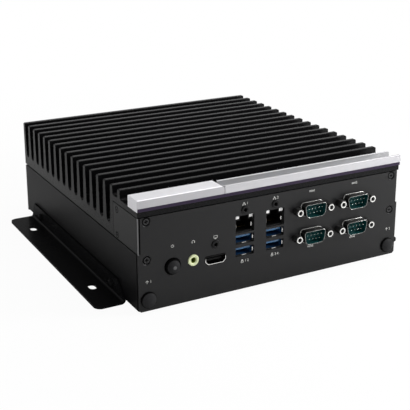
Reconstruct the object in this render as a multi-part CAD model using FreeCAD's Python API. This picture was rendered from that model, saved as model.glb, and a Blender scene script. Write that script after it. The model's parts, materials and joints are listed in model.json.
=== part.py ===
import FreeCAD
import Part

import math
import os

from FreeCAD import Vector

# Fanless edge computer: a drafted heat sink on a folded sheet tray, a row of connectors on the front panel,
# a trim bar over them and a slotted bracket along each side.
#
# Millimetres. While a piece is modelled, x = 0 is the middle, y = 0 the face of the front panel, with y
# growing to the rear, and z = 0 the underside of the tray. The finished pieces are moved so that the origin
# lies under the middle of the object, in the plane that the bracket feet stand on.

# Sheet metal and fits
panel_sheet = 1.5
tray_sheet = 1.2
bracket_sheet = 1.5
panel_bend = 2.0
inner_bend = 0.5
tray_bend = 1.7
seam_gap = 0.4
slit = 0.6
fit = 0.05
window_gap = 0.3
cut_past = 1.0

# Front row from left to right: from edge to middle, middle to middle, middle to edge
edge_to_button = 24.1
button_to_audio = 14.7
audio_to_display = 16.1
display_to_stack = 21.9
stack_pitch = 23.2
stack_to_serial = 29.2
serial_pitch = 35.2
serial_to_edge = 38.6

# Board and the heights of the connectors' middles above it
standoff_height = 19.4
board_sheet = 1.6
board_side_gap = 4.0
board_rear_gap = 4.0
button_rise = 4.6
audio_rise = 5.6
display_rise = 3.0
usb_rise = 4.4
usb_pitch = 8.6
lan_rise = 23.5
serial_rise = 5.8
serial_stack = 19.05
display_to_lock = 10.3
lan_to_lock = 9.5
lock_to_panel_top = 7.2

# Computing module between the board and the heat sink
module_width = 100.0
module_depth = 87.0
module_lift = 5.2
module_sheet = 1.6
module_front = 66.0
module_hole_inset = 5.0
module_post_width = 5.0
connector_width = 90.0
connector_depth = 7.0
connector_from_rear = 14.0
processor_size = 45.0
processor_height = 3.0
pad_thickness = 0.8
pad_margin = 2.0
spreader_size = 72.0
spreader_thickness = 5.8

# Heat sink
sink_base = 7.4
ledge_thickness = 3.8
front_fin_height = 6.2
fin_count = 17
fin_pitch = 11.66
fin_tip = 3.4
fin_root = 5.8
fin_tip_chamfer = 0.4
fin_end_corner = 1.1
shallow_gap_corner = 1.5
sink_inset = 0.4
sink_overhang = 1.5
seam_chamfer = 0.5
web_thickness = 7.4
end_wall = 10.0
boss_height = 11.0
boss_depth = 12.0

# Trim over the front panel
trim_depth = 13.6
trim_height = 7.6
trim_overhang = 1.0
trim_to_fin = 13.4
nameplate_length = 60.8
nameplate_end_chamfer = 1.8
trim_chamfer = 0.5
trim_joint = 0.5
trim_end_slant = 1.2
channel_floor = 2.6
channel_front_wall = 0.8
channel_rear_wall = 0.9
channel_rear_drop = 0.8
channel_lip_round = 0.25
channel_corner = 0.4
accent_height = 2.2
accent_sheet = 0.4

# Front panel
panel_corner_clip = 1.4
side_screw_from_front = 31.0
side_screw_to_flange_end = 5.5
side_screw_above_seam = 2.6
side_screw_below_top = 3.7
screw_from_edge = 6.5
upper_screw_below_top = 2.9
lower_screw_below_seam = 4.5

# Tray
tray_flange = 9.0
tray_flange_from_front = 12.0
tray_flange_to_boss = 3.0
tab_width = 13.0
tab_below_screw = 9.0
tab_above_screw = 2.6
rear_screw_rise = 8.0
rear_boss_screw_drop = 6.0

# Screws
screw_radius = 1.5
screw_head_radius = 2.75
screw_length = 7.0
screw_sink = 0.4
side_screw_radius = 1.25
side_screw_head_radius = 2.3
side_screw_length = 6.0
cross_width = 0.7
cross_length = 3.0
cross_depth = 0.8
pan_head_radius = 2.8
pan_head_height = 1.9
pan_head_chamfer = 0.9

# Brackets
bracket_reach = 20.5
bracket_front = 19.0
bracket_length = 179.5
bracket_height = 13.2
bracket_shoulder = 3.0
bracket_front_slope = 11.0
bracket_rear_slope = 5.0
bracket_bend = 1.5
bracket_foot_corner = 5.0
slot_from_side = 10.4
slot_front = 50.9
slot_pitch = 120.0
slot_width = 5.4
slot_length = 9.0
bracket_screw_inset = 20.0
bracket_screw_height = 5.0

# Serial ports, nine pins each
shell_width = 18.0
shell_height = 9.4
shell_slope_deg = 10.0
shell_corner = 2.6
shell_wall = 0.4
shell_reach = 5.3
shell_flange = 0.8
jack_to_flange_end = 2.9
shell_flange_height = 12.5
shell_flange_corner = 1.5
collar_step = 0.25
collar_reach = 0.5
insert_reach = 0.5
pin_width = 0.9
pin_sides = 8
pin_pitch = 2.77
pin_row_pitch = 2.84
pin_long_row = 5
pin_short_row = 4
pin_recess = 0.9
jack_pitch = 25.0
jack_across_flats = 5.0
jack_reach = 5.3
jack_bore_radius = 1.2
jack_bore_depth = 4.4
jack_stud_radius = 1.4
jack_stud_length = 5.0
jack_chamfer = 0.6
housing_depth = 15.0
housing_above_port = 6.4

# Network and USB stacks
shield_width = 16.6
shield_depth = 22.5
shield_wall = 0.4
shield_above_lan = 6.6
lan_window_width = 14.0
lan_window_height = 11.8
lan_cavity_width = 11.8
lan_cavity_height = 7.4
lan_cavity_drop = 1.4
lan_cavity_depth = 14.0
latch_width = 6.2
latch_height = 2.6
light_width = 2.7
light_height = 2.2
light_depth = 6.0
light_from_middle = 5.2
light_rise = 4.4
contact_count = 8
contact_pitch = 1.02
contact_width = 0.45
contact_lift = 1.0
contact_from_front = 5.0
lan_floor_wall = 1.6
usb_window_width = 13.8
usb_window_height = 6.2
usb_socket_width = 12.6
usb_socket_height = 5.2
usb_tongue_width = 11.2
usb_tongue_thickness = 1.9
usb_tongue_rise = 1.0
usb_tongue_recess = 1.0
usb_tongue_chamfer = 0.5
usb_block_depth = 8.0

# Display port
display_width = 15.0
display_height = 5.7
display_neck_width = 11.0
display_neck_height = 1.9
display_wall = 0.4
display_corner = 0.9
display_shoulder_round = 1.4
display_reach = 0.4
display_depth = 11.0
display_block_depth = 3.5
display_tongue_width = 10.6
display_tongue_thickness = 1.2
display_tongue_recess = 1.5

# Audio jack
audio_ring_radius = 3.8
audio_ring_reach = 0.6
audio_ring_chamfer = 0.5
audio_bore_radius = 1.8
audio_mouth = 0.6
audio_body_width = 11.6
audio_body_depth = 12.5
audio_bore_depth = 11.0

# Power button and its switch
button_radius = 5.2
button_gap = 0.6
button_reach = 3.6
button_rim = 0.9
button_flange = 1.0
button_flange_thickness = 0.8
button_flange_gap = 0.5
button_travel = 1.2
button_stop_gap = 0.4
button_stem_radius = 1.8
button_stem_length = 6.0
switch_width = 10.0
switch_above_stem = 4.6
switch_back = 2.0

# Studs for cable locks
lock_radius = 2.8
lock_reach = 0.8
lock_edge = 0.3
lock_bore_radius = 1.25
lock_depth = 4.5
lock_chamfer = 0.5

# Plugs in the aerial holes
plug_radius = 5.4
plug_height = 2.8
rear_plug_height = 1.6
plug_rim = 0.9
plug_stem_radius = 3.1
plug_stem_length = 3.5
plug_from_edge = 7.2
plug_rise = 7.5

# Rear panel
inlet_width = 22.0
inlet_height = 10.2
inlet_depth = 12.0
inlet_from_middle = 60.0
inlet_poles = 3
inlet_hole_radius = 1.5
inlet_hole_depth = 6.0
inlet_hole_rise = 3.4
inlet_screw_radius = 1.7
inlet_screw_depth = 0.8
inlet_screw_from_rear = 4.0
rear_plug_count = 3
rear_plug_pitch = 26.0
rear_plug_rise = 14.0
ground_to_inlet = 8.0

# Storage card
card_width = 22.0
card_length = 80.0
card_sheet = 0.8
card_lift = 2.4
card_from_middle = 66.0
card_front = 92.0
socket_depth = 7.0
socket_height = 4.2
card_post_radius = 2.0

# Board fasteners
standoff_width = 5.8
board_hole_from_edge = 6.0
board_hole_from_front = 26.0
board_hole_from_rear = 14.0
board_screw_length = 7.0
board_screw_head_width = 5.5
board_screw_head_height = 2.0

# Places that follow from the sizes above
body_width = (edge_to_button + button_to_audio + audio_to_display + display_to_stack + stack_pitch
              + stack_to_serial + serial_pitch + serial_to_edge)
half_width = body_width / 2
sink_half = half_width - sink_inset
fin_front = trim_depth - trim_overhang + trim_to_fin
body_depth = fin_front + (fin_count - 1) * fin_pitch + fin_tip
rear_face = body_depth - sink_overhang
rear_inner = rear_face - panel_sheet

board_low = tray_sheet + standoff_height
board_top = board_low + board_sheet
board_half = half_width - tray_sheet - board_side_gap
board_rear = rear_inner - board_rear_gap

button_flange_front = panel_sheet + button_flange_gap
button_flange_rear = button_flange_front + button_flange_thickness
button_stem_end = button_flange_rear + button_stem_length
switch_front = button_flange_rear + button_travel + button_stop_gap
board_front = switch_front

button_x = edge_to_button - half_width
audio_x = button_x + button_to_audio
display_x = audio_x + audio_to_display
stack_x = [display_x + display_to_stack, display_x + display_to_stack + stack_pitch]
serial_x = [stack_x[1] + stack_to_serial, stack_x[1] + stack_to_serial + serial_pitch]
button_z = board_top + button_rise
audio_z = board_top + audio_rise
display_z = board_top + display_rise
usb_z = [board_top + usb_rise, board_top + usb_rise + usb_pitch]
lan_z = board_top + lan_rise
serial_z = [board_top + serial_rise + serial_stack, board_top + serial_rise]
lock_places = [(display_x, display_z + display_to_lock), (stack_x[0], lan_z + lan_to_lock),
               (stack_x[1], lan_z + lan_to_lock)]
serial_places = [(x, z) for z in serial_z for x in serial_x]

module_low = board_top + module_lift
processor_low = module_low + module_sheet
pad_low = processor_low + processor_height
spreader_low = pad_low + pad_thickness
seam_height = spreader_low + spreader_thickness
module_middle = module_front + module_depth / 2

panel_height = lan_z + lan_to_lock + lock_to_panel_top
ledge_low = panel_height + slit
ledge_top = ledge_low + ledge_thickness
fin_top = ledge_top + front_fin_height
gap_floor = seam_height + sink_base
fin_draft = (fin_root - fin_tip) / 2 / (fin_top - gap_floor)
web_rear = fin_front + fin_tip / 2 + fin_pitch + fin_root / 2
web_front = web_rear - web_thickness
flange_depth = side_screw_from_front + side_screw_to_flange_end
flange_low = seam_height + seam_gap

screw_x = half_width - screw_from_edge
upper_screw_z = panel_height - upper_screw_below_top
lower_screw_z = seam_height - lower_screw_below_seam
side_screw_z = [flange_low + side_screw_above_seam, panel_height - side_screw_below_top]
rear_boss_screw_z = seam_height - rear_boss_screw_drop
shell_flange_width = jack_pitch + 2 * jack_to_flange_end
foot_level = -bracket_sheet
bracket_rear = bracket_front + bracket_length
bracket_screw_y = [bracket_front + bracket_screw_inset, bracket_rear - bracket_screw_inset]
plug_places = [(-half_width + plug_from_edge, plug_rise), (half_width - plug_from_edge, plug_rise)]
inlet_x = -inlet_from_middle
ground_x = inlet_x - inlet_width / 2 - ground_to_inlet
ground_z = board_top + inlet_height / 2
front_reach = max(shell_reach, jack_reach)
to_origin = Vector(0, (front_reach - body_depth) / 2, -foot_level)


# Basic forms


def box(x0, x1, y0, y1, z0, z1):
    """Block between two corners."""
    return Part.makeBox(x1 - x0, y1 - y0, z1 - z0, Vector(x0, y0, z0))


def rounded_corner(before, corner, after):
    """Start, middle and end of the rounding of one corner (u, v, radius) of a flat outline."""
    point = Vector(corner[0], corner[1], 0)
    to_before = (Vector(before[0], before[1], 0) - point).normalize()
    to_after = (Vector(after[0], after[1], 0) - point).normalize()
    half_turn = to_before.getAngle(to_after) / 2
    reach = corner[2] / math.tan(half_turn)
    to_middle = corner[2] / math.sin(half_turn) - corner[2]
    inward = (to_before + to_after).normalize()
    return point + to_before * reach, point + inward * to_middle, point + to_after * reach


def outline(corners, place):
    """Closed face through rounded corners (u, v, radius); place turns a flat point into one in space."""
    count = len(corners)
    rounded = []
    for index in range(count):
        rounded.append(rounded_corner(corners[index - 1], corners[index], corners[(index + 1) % count]))
    edges = []
    for index in range(count):
        start, middle, end = rounded[index]
        if corners[index][2] > 0:
            edges.append(Part.Arc(place(start), place(middle), place(end)).toShape())
        following = rounded[(index + 1) % count][0]
        if (following - end).Length > 1e-6:
            edges.append(Part.LineSegment(place(end), place(following)).toShape())
    return Part.Face(Part.Wire(edges))


def prism_x(corners, x0, x1):
    """Outline in (y, z), drawn out along X."""
    return outline(corners, lambda p: Vector(x0, p.x, p.y)).extrude(Vector(x1 - x0, 0, 0))


def prism_y(corners, y0, y1):
    """Outline in (x, z), drawn out along Y."""
    return outline(corners, lambda p: Vector(p.x, y0, p.y)).extrude(Vector(0, y1 - y0, 0))


def prism_z(corners, z0, z1):
    """Outline in (x, y), drawn out along Z."""
    return outline(corners, lambda p: Vector(p.x, p.y, z0)).extrude(Vector(0, 0, z1 - z0))


def turned(corners, x=0.0, z=0.0):
    """Solid turned about a line along Y at (x, z); its half section has corners (radius, y, rounding)."""
    section = outline(corners, lambda p: Vector(p.x, p.y, 0))
    solid = section.revolve(Vector(0, 0, 0), Vector(0, 1, 0), 360)
    solid.translate(Vector(x, 0, z))
    return solid


def dome(radius, rim, height):
    """Cap turned about Y: foot at y = 0, a straight rim, and a round crown up to y = -height."""
    rise = height - rim
    ball = (radius ** 2 + rise ** 2) / (2 * rise)
    half_angle = math.asin(radius / ball) / 2
    crown, shoulder = Vector(0, -height, 0), Vector(radius, -rim, 0)
    middle = Vector(ball * math.sin(half_angle), ball - height - ball * math.cos(half_angle), 0)
    sides = Part.makePolygon([shoulder, Vector(radius, 0, 0), Vector(0, 0, 0), crown])
    section = Part.Face(Part.Wire([Part.Arc(crown, middle, shoulder).toShape()] + sides.Edges))
    return section.revolve(Vector(0, 0, 0), Vector(0, 1, 0), 360)


def rod_y(radius, x, z, y0, y1):
    """Round rod along Y."""
    return Part.makeCylinder(radius, y1 - y0, Vector(x, y0, z), Vector(0, 1, 0))


def rod_z(radius, x, y, z0, z1):
    """Round rod along Z."""
    return Part.makeCylinder(radius, z1 - z0, Vector(x, y, z0), Vector(0, 0, 1))


def rectangle(u, v, width, height, radius=0.0):
    """Corners of a rectangle about (u, v)."""
    right, top = width / 2, height / 2
    return [(u - right, v - top, radius), (u + right, v - top, radius),
            (u + right, v + top, radius), (u - right, v + top, radius)]


def regular(u, v, across_flats, sides):
    """Corners of a regular polygon about (u, v)."""
    radius = across_flats / 2 / math.cos(math.pi / sides)
    turn = 2 * math.pi / sides
    return [(u + radius * math.cos(k * turn), v + radius * math.sin(k * turn), 0.0) for k in range(sides)]


def d_shape(x, z, width, height, radius):
    """Corners of a serial port's shape: wide at the top, with sides that slope in towards the bottom."""
    slope = height * math.tan(math.radians(shell_slope_deg))
    top, low = width / 2, width / 2 - slope
    return [(x - low, z - height / 2, radius), (x + low, z - height / 2, radius),
            (x + top, z + height / 2, radius), (x - top, z + height / 2, radius)]


def side_box(side, near, far, y0, y1, z0, z1):
    """Block from near to far of the middle, on the right for side = 1 and on the left for -1."""
    x0, x1 = sorted((side * near, side * far))
    return box(x0, x1, y0, y1, z0, z1)


def pair(near, far, y0, y1, z0, z1):
    """The same block on the left and on the right."""
    return [side_box(side, near, far, y0, y1, z0, z1) for side in (-1, 1)]


def placed(shape, x, y, z, turn=0.0):
    """Copy turned about Z, in degrees, and moved."""
    copy = shape.copy()
    copy.rotate(Vector(0, 0, 0), Vector(0, 0, 1), turn)
    copy.translate(Vector(x, y, z))
    return copy


# Screws, with the head at the origin and the shank along +Y


def cross_recess(y0, y1):
    """Cross cut in a screw head."""
    long, short = cross_length / 2, cross_width / 2
    return [box(-long, long, y0, y1, -short, short), box(-short, short, y0, y1, -long, long)]


def countersunk(head, shank, length):
    """Solid of a flat headed screw, or of the hole that takes it."""
    return turned([(0.0, 0.0, 0), (head, 0.0, 0), (shank, head - shank, 0), (shank, length, 0),
                   (0.0, length, 0)])


def panel_screw():
    """Flat headed screw of the front and rear panels, sunk a little under their face."""
    screw = countersunk(screw_head_radius, screw_radius, screw_length).cut(cross_recess(0, cross_depth))
    return placed(screw, 0, screw_sink, 0)


def panel_hole():
    """Space for a panel screw, with a wider mouth than its head."""
    mouth, length = screw_head_radius + screw_sink + fit, screw_length + screw_sink + fit
    return countersunk(mouth, screw_radius + fit, length)


def side_screw():
    """Smaller flat headed screw of the front panel's side flanges."""
    screw = countersunk(side_screw_head_radius, side_screw_radius, side_screw_length)
    return screw.cut(cross_recess(0, cross_depth))


def side_hole():
    """Space for a side screw."""
    return countersunk(side_screw_head_radius + fit, side_screw_radius + fit, side_screw_length + fit)


def pan_screw(length):
    """Screw with a chamfered head that stands on its seat, which is at y = 0."""
    crown = pan_head_radius - pan_head_chamfer
    solid = turned([(0.0, -pan_head_height, 0), (crown, -pan_head_height, 0),
                    (pan_head_radius, pan_head_chamfer - pan_head_height, 0), (pan_head_radius, 0.0, 0),
                    (screw_radius, 0.0, 0), (screw_radius, length, 0), (0.0, length, 0)])
    return solid.cut(cross_recess(-pan_head_height, cross_depth - pan_head_height))


def pan_hole(length):
    """Space for the shank of a pan head screw."""
    return rod_y(screw_radius + fit, 0, 0, -fit, length + fit)


def front_screw_places():
    """Middles of the front panel's screws: the upper pair in the heat sink, the lower pair in the tray."""
    return [(side * screw_x, z) for z in (upper_screw_z, lower_screw_z) for side in (-1, 1)]


def rear_screw_places():
    """Middles of the rear panel's screws: the upper pair in the heat sink, the lower pair in the tray."""
    return [(side * screw_x, z) for z in (rear_boss_screw_z, rear_screw_rise) for side in (-1, 1)]


def at_front(shape):
    """Copies at the front panel's screws."""
    return [placed(shape, x, 0, z) for x, z in front_screw_places()]


def at_rear(shape):
    """Copies at the rear panel's screws."""
    return [placed(shape, x, rear_face, z, 180) for x, z in rear_screw_places()]


def at_sides(shape):
    """Copies at the screws of the front panel's side flanges."""
    return [placed(shape, side * sink_half, side_screw_from_front, z, side * 90)
            for side in (-1, 1) for z in side_screw_z]


def at_brackets(shape):
    """Copies at the bracket screws, seated on the brackets' outer faces."""
    return [placed(shape, side * (half_width + bracket_sheet), y, bracket_screw_height, side * 90)
            for side in (-1, 1) for y in bracket_screw_y]


# Case


def fin_half(z):
    """Half a fin's thickness at height z; the fins taper from root to tip."""
    return fin_tip / 2 + (fin_top - z) * fin_draft


def fin_corners(index):
    """Section of one fin: up from the gap before it, over the tip and down into the gap behind it."""
    middle = fin_front + fin_tip / 2 + index * fin_pitch
    gap_corner = (fin_pitch - fin_root) / 2
    floor_before, round_before = (ledge_top, shallow_gap_corner) if index < 2 else (gap_floor, gap_corner)
    floor_after, round_after = (ledge_top, shallow_gap_corner) if index < 1 else (gap_floor, gap_corner)
    tip = fin_tip / 2
    shoulder = fin_top - fin_tip_chamfer
    rise = [(middle - fin_half(floor_before), floor_before, round_before), (middle - tip, shoulder, 0),
            (middle - tip + fin_tip_chamfer, fin_top, 0), (middle + tip - fin_tip_chamfer, fin_top, 0),
            (middle + tip, shoulder, 0)]
    fall = [(middle + fin_half(floor_after), floor_after, round_after)]
    return rise if index == fin_count - 1 else rise + fall


def sink_section():
    """Section of the heat sink from the front lip over the fins to the rear, and back along its underside."""
    corners = [(0.0, ledge_low, 0), (0.0, ledge_top, 0)]
    for index in range(fin_count):
        corners += fin_corners(index)
    corners += [(body_depth, seam_height, 0), (web_front, seam_height, 0), (web_front, ledge_low, 0)]
    return corners


def sink_front_view():
    """Outline that rounds the ends of the fins and chamfers the lower edges at the seam."""
    low = seam_height + seam_chamfer
    return [(-sink_half + seam_chamfer, seam_height, 0), (sink_half - seam_chamfer, seam_height, 0),
            (sink_half, low, 0), (sink_half, fin_top, fin_end_corner),
            (-sink_half, fin_top, fin_end_corner), (-sink_half, low, 0)]


def heat_sink():
    """Cast top: fins, base, ledge, end walls behind the front flanges and bosses for the rear panel."""
    body = prism_x(sink_section(), -sink_half, sink_half)
    inset = sink_half - panel_sheet
    walls = pair(inset - end_wall, sink_half, panel_sheet, web_front, seam_height, ledge_low)
    body = body.fuse(walls).common(prism_y(sink_front_view(), 0, body_depth))
    bosses = pair(inset - end_wall, inset, rear_inner - boss_depth, rear_inner,
                  seam_height - boss_height, seam_height)
    reliefs = pair(inset, half_width, 0, flange_depth + seam_gap, seam_height, ledge_low)
    reliefs += pair(inset - inner_bend, half_width, 0, panel_sheet + inner_bend, seam_height, ledge_low)
    hole = panel_hole()
    holes = at_front(hole)[:2] + at_rear(hole)[:2] + at_sides(side_hole())
    return body.fuse(bosses).removeSplitter().cut(reliefs + holes)


def front_windows():
    """Everything that is cut through the front panel."""
    low, high = -cut_past, panel_sheet + cut_past
    cuts = []
    for x, z in serial_places:
        grow = 2 * (collar_step + window_gap)
        hole = d_shape(x, z, shell_width + grow, shell_height + grow, shell_corner + grow / 2)
        cuts.append(prism_y(hole, low, high))
        cuts += [rod_y(jack_stud_radius + fit, x + side * jack_pitch / 2, z, low, high) for side in (-1, 1)]
    for x in stack_x:
        cuts.append(prism_y(rectangle(x, lan_z, lan_window_width, lan_window_height, window_gap), low, high))
        cuts += [prism_y(rectangle(x, z, usb_window_width, usb_window_height, window_gap), low, high)
                 for z in usb_z]
    cuts.append(prism_y(display_shape(window_gap), low, high))
    cuts.append(rod_y(audio_ring_radius + window_gap, audio_x, audio_z, low, high))
    cuts.append(rod_y(button_radius + button_gap, button_x, button_z, low, high))
    cuts += [rod_y(lock_radius + fit, x, z, low, high) for x, z in lock_places]
    cuts += [rod_y(plug_stem_radius + fit, x, z, low, high) for x, z in plug_places]
    return cuts


def front_panel():
    """Folded sheet: the face of the computer, with a flange bent back along each side above the seam."""
    inner = sink_half - panel_sheet
    upper = [(-sink_half, 0, panel_bend), (sink_half, 0, panel_bend), (sink_half, flange_depth, 0),
             (inner, flange_depth, 0), (inner, panel_sheet, inner_bend), (-inner, panel_sheet, inner_bend),
             (-inner, flange_depth, 0), (-sink_half, flange_depth, 0)]
    clip = sink_half - panel_corner_clip
    lower = [(-clip, 0, 0), (clip, 0, 0), (sink_half, panel_corner_clip, 0), (sink_half, flange_low, 0),
             (-sink_half, flange_low, 0), (-sink_half, panel_corner_clip, 0)]
    sheet = prism_z(upper, flange_low, panel_height).fuse(prism_y(lower, 0, panel_sheet)).removeSplitter()
    return sheet.cut(front_windows() + at_front(panel_hole()) + at_sides(side_hole()))


def chassis_base():
    """Folded tray: floor, two sides with a flange turned in at the top, and tabs for the panels' screws."""
    inner = half_width - tray_sheet
    section = [(-half_width, 0, tray_bend), (half_width, 0, tray_bend), (half_width, seam_height, 0),
               (inner, seam_height, 0), (inner, tray_sheet, inner_bend), (-inner, tray_sheet, inner_bend),
               (-inner, seam_height, 0), (-half_width, seam_height, 0)]
    tray = prism_y(section, panel_sheet, rear_inner)
    flange_rear = rear_inner - boss_depth - tray_flange_to_boss
    folds = pair(inner - tray_flange, inner, tray_flange_from_front, flange_rear,
                 seam_height - tray_sheet, seam_height)
    folds += pair(inner - tab_width, inner, panel_sheet, panel_sheet + tray_sheet,
                  lower_screw_z - tab_below_screw, lower_screw_z + tab_above_screw)
    folds += pair(inner - tab_width, inner, rear_inner - tray_sheet, rear_inner,
                  tray_sheet, rear_screw_rise + tab_below_screw)
    hole = panel_hole()
    holes = at_front(hole)[2:] + at_rear(hole)[2:] + at_brackets(pan_hole(screw_length))
    return tray.fuse(folds).removeSplitter().cut(holes)


def rear_panel():
    """Flat sheet behind the tray, with the power inlet's window and the holes of the plugs and screws."""
    sheet = box(-half_width, half_width, rear_inner, rear_face, 0, seam_height - seam_gap)
    low, high = rear_inner - cut_past, rear_face + cut_past
    cuts = at_rear(panel_hole())
    cuts.append(prism_y(rectangle(inlet_x, board_top + inlet_height / 2, inlet_width + 2 * window_gap,
                                  inlet_height + 2 * window_gap), low, high))
    cuts += [rod_y(plug_stem_radius + fit, x, z, low, high) for x, z in rear_plug_places()]
    cuts.append(rod_y(screw_radius + fit, ground_x, ground_z, low, high))
    return sheet.cut(cuts)


# Trim


def plate_section(front, rear):
    """Section of the nameplate block: chamfered top edges, a rebate for the accent strip low on the front."""
    top = ledge_top + trim_height
    return [(front + accent_sheet, ledge_top, 0), (rear, ledge_top, 0), (rear, top - trim_chamfer, 0),
            (rear - trim_chamfer, top, 0), (front + trim_chamfer, top, 0), (front, top - trim_chamfer, 0),
            (front, ledge_top + accent_height, 0), (front + accent_sheet, ledge_top + accent_height, 0)]


def nameplate_block():
    """Solid left end of the trim: a bare plate with a slope at its right end."""
    right = nameplate_length - half_width
    block = prism_x(plate_section(-trim_overhang, trim_depth - trim_overhang), -half_width, right)
    top = ledge_top + trim_height
    slope = [(right - nameplate_end_chamfer, top, 0), (right, top, 0),
             (right, top - nameplate_end_chamfer, 0)]
    return block.cut(prism_y(slope, -trim_overhang, trim_depth - trim_overhang))


def channel_section(front, rear):
    """Section of the trim bar: a front wall with a rounded lip, a floor and a lower rear wall."""
    top, low = ledge_top + trim_height, ledge_top + channel_floor
    lip = top - channel_rear_drop
    inner_front, inner_rear = front + channel_front_wall, rear - channel_rear_wall
    strip_top = ledge_top + accent_height
    return [(front + accent_sheet, ledge_top, 0), (rear, ledge_top, 0), (rear, lip, 0), (inner_rear, lip, 0),
            (inner_rear, low, channel_corner), (inner_front, low, channel_corner),
            (inner_front, top, channel_lip_round), (front, top, channel_lip_round),
            (front, strip_top, 0), (front + accent_sheet, strip_top, 0)]


def trim_bar():
    """Right part of the trim: a drawn channel, open at its ends, with a slanted left end."""
    left = nameplate_length + trim_joint - half_width
    front, rear = -trim_overhang, trim_depth - trim_overhang
    bar = prism_x(channel_section(front, rear), left, half_width)
    slant = [(left, front, 0), (left + trim_end_slant, rear, 0), (left, rear, 0)]
    return bar.cut(prism_z(slant, ledge_top, ledge_top + trim_height))


def accent_strip():
    """Thin coloured strip along the lower front of the trim."""
    side, front = half_width - accent_sheet, -trim_overhang
    return box(-side, side, front, front + accent_sheet, ledge_top, ledge_top + accent_height)


# Brackets


def right_bracket():
    """Folded L: a flange with sloped ends on the tray's side and a foot with two slots."""
    inner, outer = half_width + bracket_sheet, half_width + bracket_reach
    high = foot_level + bracket_height
    fold = [(half_width, foot_level, bracket_bend + bracket_sheet), (outer, foot_level, 0), (outer, 0, 0),
            (inner, 0, bracket_bend), (inner, high, 0), (half_width, high, 0)]
    front, rear = bracket_front, bracket_rear
    plan = [(half_width, front, 0), (outer, front, bracket_foot_corner), (outer, rear, bracket_foot_corner),
            (half_width, rear, 0)]
    shoulder = foot_level + bracket_shoulder
    side = [(front, foot_level, 0), (rear, foot_level, 0), (rear, shoulder, 0),
            (rear - bracket_rear_slope, high, 0), (front + bracket_front_slope, high, 0),
            (front, shoulder, 0)]
    bracket = prism_y(fold, front, rear).common(prism_z(plan, foot_level, high))
    bracket = bracket.common(prism_x(side, half_width, outer))
    slots = [prism_z(rectangle(half_width + slot_from_side, y, slot_width, slot_length, slot_width / 2),
                     foot_level - cut_past, cut_past) for y in (slot_front, slot_front + slot_pitch)]
    return bracket.cut(slots + at_brackets(pan_hole(screw_length))[2:])


def mirrored(shape):
    """The same piece on the other side."""
    return shape.mirror(Vector(0, 0, 0), Vector(1, 0, 0))


# Serial ports


def serial_shell(x, z):
    """Pressed shell with its flange behind the panel and a low collar where it comes out of the panel."""
    flange_rear = panel_sheet + shell_flange
    tube = prism_y(d_shape(x, z, shell_width, shell_height, shell_corner), -shell_reach, panel_sheet)
    grow = 2 * collar_step
    collar = prism_y(d_shape(x, z, shell_width + grow, shell_height + grow, shell_corner + collar_step),
                     -collar_reach, panel_sheet)
    flange = prism_y(rectangle(x, z, shell_flange_width, shell_flange_height, shell_flange_corner),
                     panel_sheet, flange_rear)
    thin = 2 * shell_wall
    hollow = prism_y(d_shape(x, z, shell_width - thin, shell_height - thin, shell_corner - shell_wall),
                     -shell_reach, flange_rear)
    holes = [rod_y(jack_stud_radius + fit, x + side * jack_pitch / 2, z, panel_sheet, flange_rear)
             for side in (-1, 1)]
    return tube.fuse([collar, flange]).removeSplitter().cut([hollow] + holes)


def serial_insert(x, z):
    """Moulded insert that carries the pins, deep in the shell."""
    thin = 2 * (shell_wall + fit)
    return prism_y(d_shape(x, z, shell_width - thin, shell_height - thin, shell_corner - shell_wall - fit),
                   -insert_reach, panel_sheet + shell_flange)


def serial_pins():
    """Pins in a long and a short row in each port."""
    pin = prism_y(regular(0, 0, pin_width, pin_sides), pin_recess - shell_reach, -insert_reach)
    pins = []
    for x, z in serial_places:
        for count, row in ((pin_long_row, 0.5), (pin_short_row, -0.5)):
            first = x - (count - 1) * pin_pitch / 2
            pins += [placed(pin, first + k * pin_pitch, 0, z + row * pin_row_pitch) for k in range(count)]
    return pins


def jack_screws():
    """Hexagonal jack screws beside each serial port, bored at the front, with a stud through the panel."""
    screw = prism_y(regular(0, 0, jack_across_flats, 6), -jack_reach, 0)
    corner = jack_across_flats / 2 / math.cos(math.pi / 6)
    barrel = turned([(0.0, -jack_reach, 0), (corner - jack_chamfer, -jack_reach, 0),
                     (corner, jack_chamfer - jack_reach, 0), (corner, 0.0, 0), (0.0, 0.0, 0)])
    stud = rod_y(jack_stud_radius, 0, 0, 0, panel_sheet + shell_flange + jack_stud_length)
    bore = rod_y(jack_bore_radius, 0, 0, -jack_reach, jack_bore_depth - jack_reach)
    screw = screw.common(barrel).fuse(stud).cut(bore)
    return [placed(screw, x + side * jack_pitch / 2, 0, z) for x, z in serial_places for side in (-1, 1)]


def serial_housing(column):
    """Moulded block that carries two ports one above the other and stands on the board."""
    x = serial_x[column]
    front = panel_sheet + shell_flange
    block = box(x - shell_flange_width / 2, x + shell_flange_width / 2, front, front + housing_depth,
                board_top, serial_z[0] + housing_above_port)
    hole_end = front + jack_stud_length + fit
    holes = [rod_y(jack_stud_radius + fit, x + side * jack_pitch / 2, z, front, hole_end)
             for z in serial_z for side in (-1, 1)]
    return block.cut(holes)


# Network and USB stacks


def usb_liner(x, z):
    """Sheet tube that lines a USB socket, as deep as its tongue."""
    front = panel_sheet
    rear = front + shield_depth - shield_wall - usb_block_depth - 2 * fit
    thick = 2 * shield_wall
    tube = prism_y(rectangle(x, z, usb_socket_width + thick, usb_socket_height + thick), front, rear)
    return tube.cut(prism_y(rectangle(x, z, usb_socket_width, usb_socket_height), front, rear))


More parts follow.
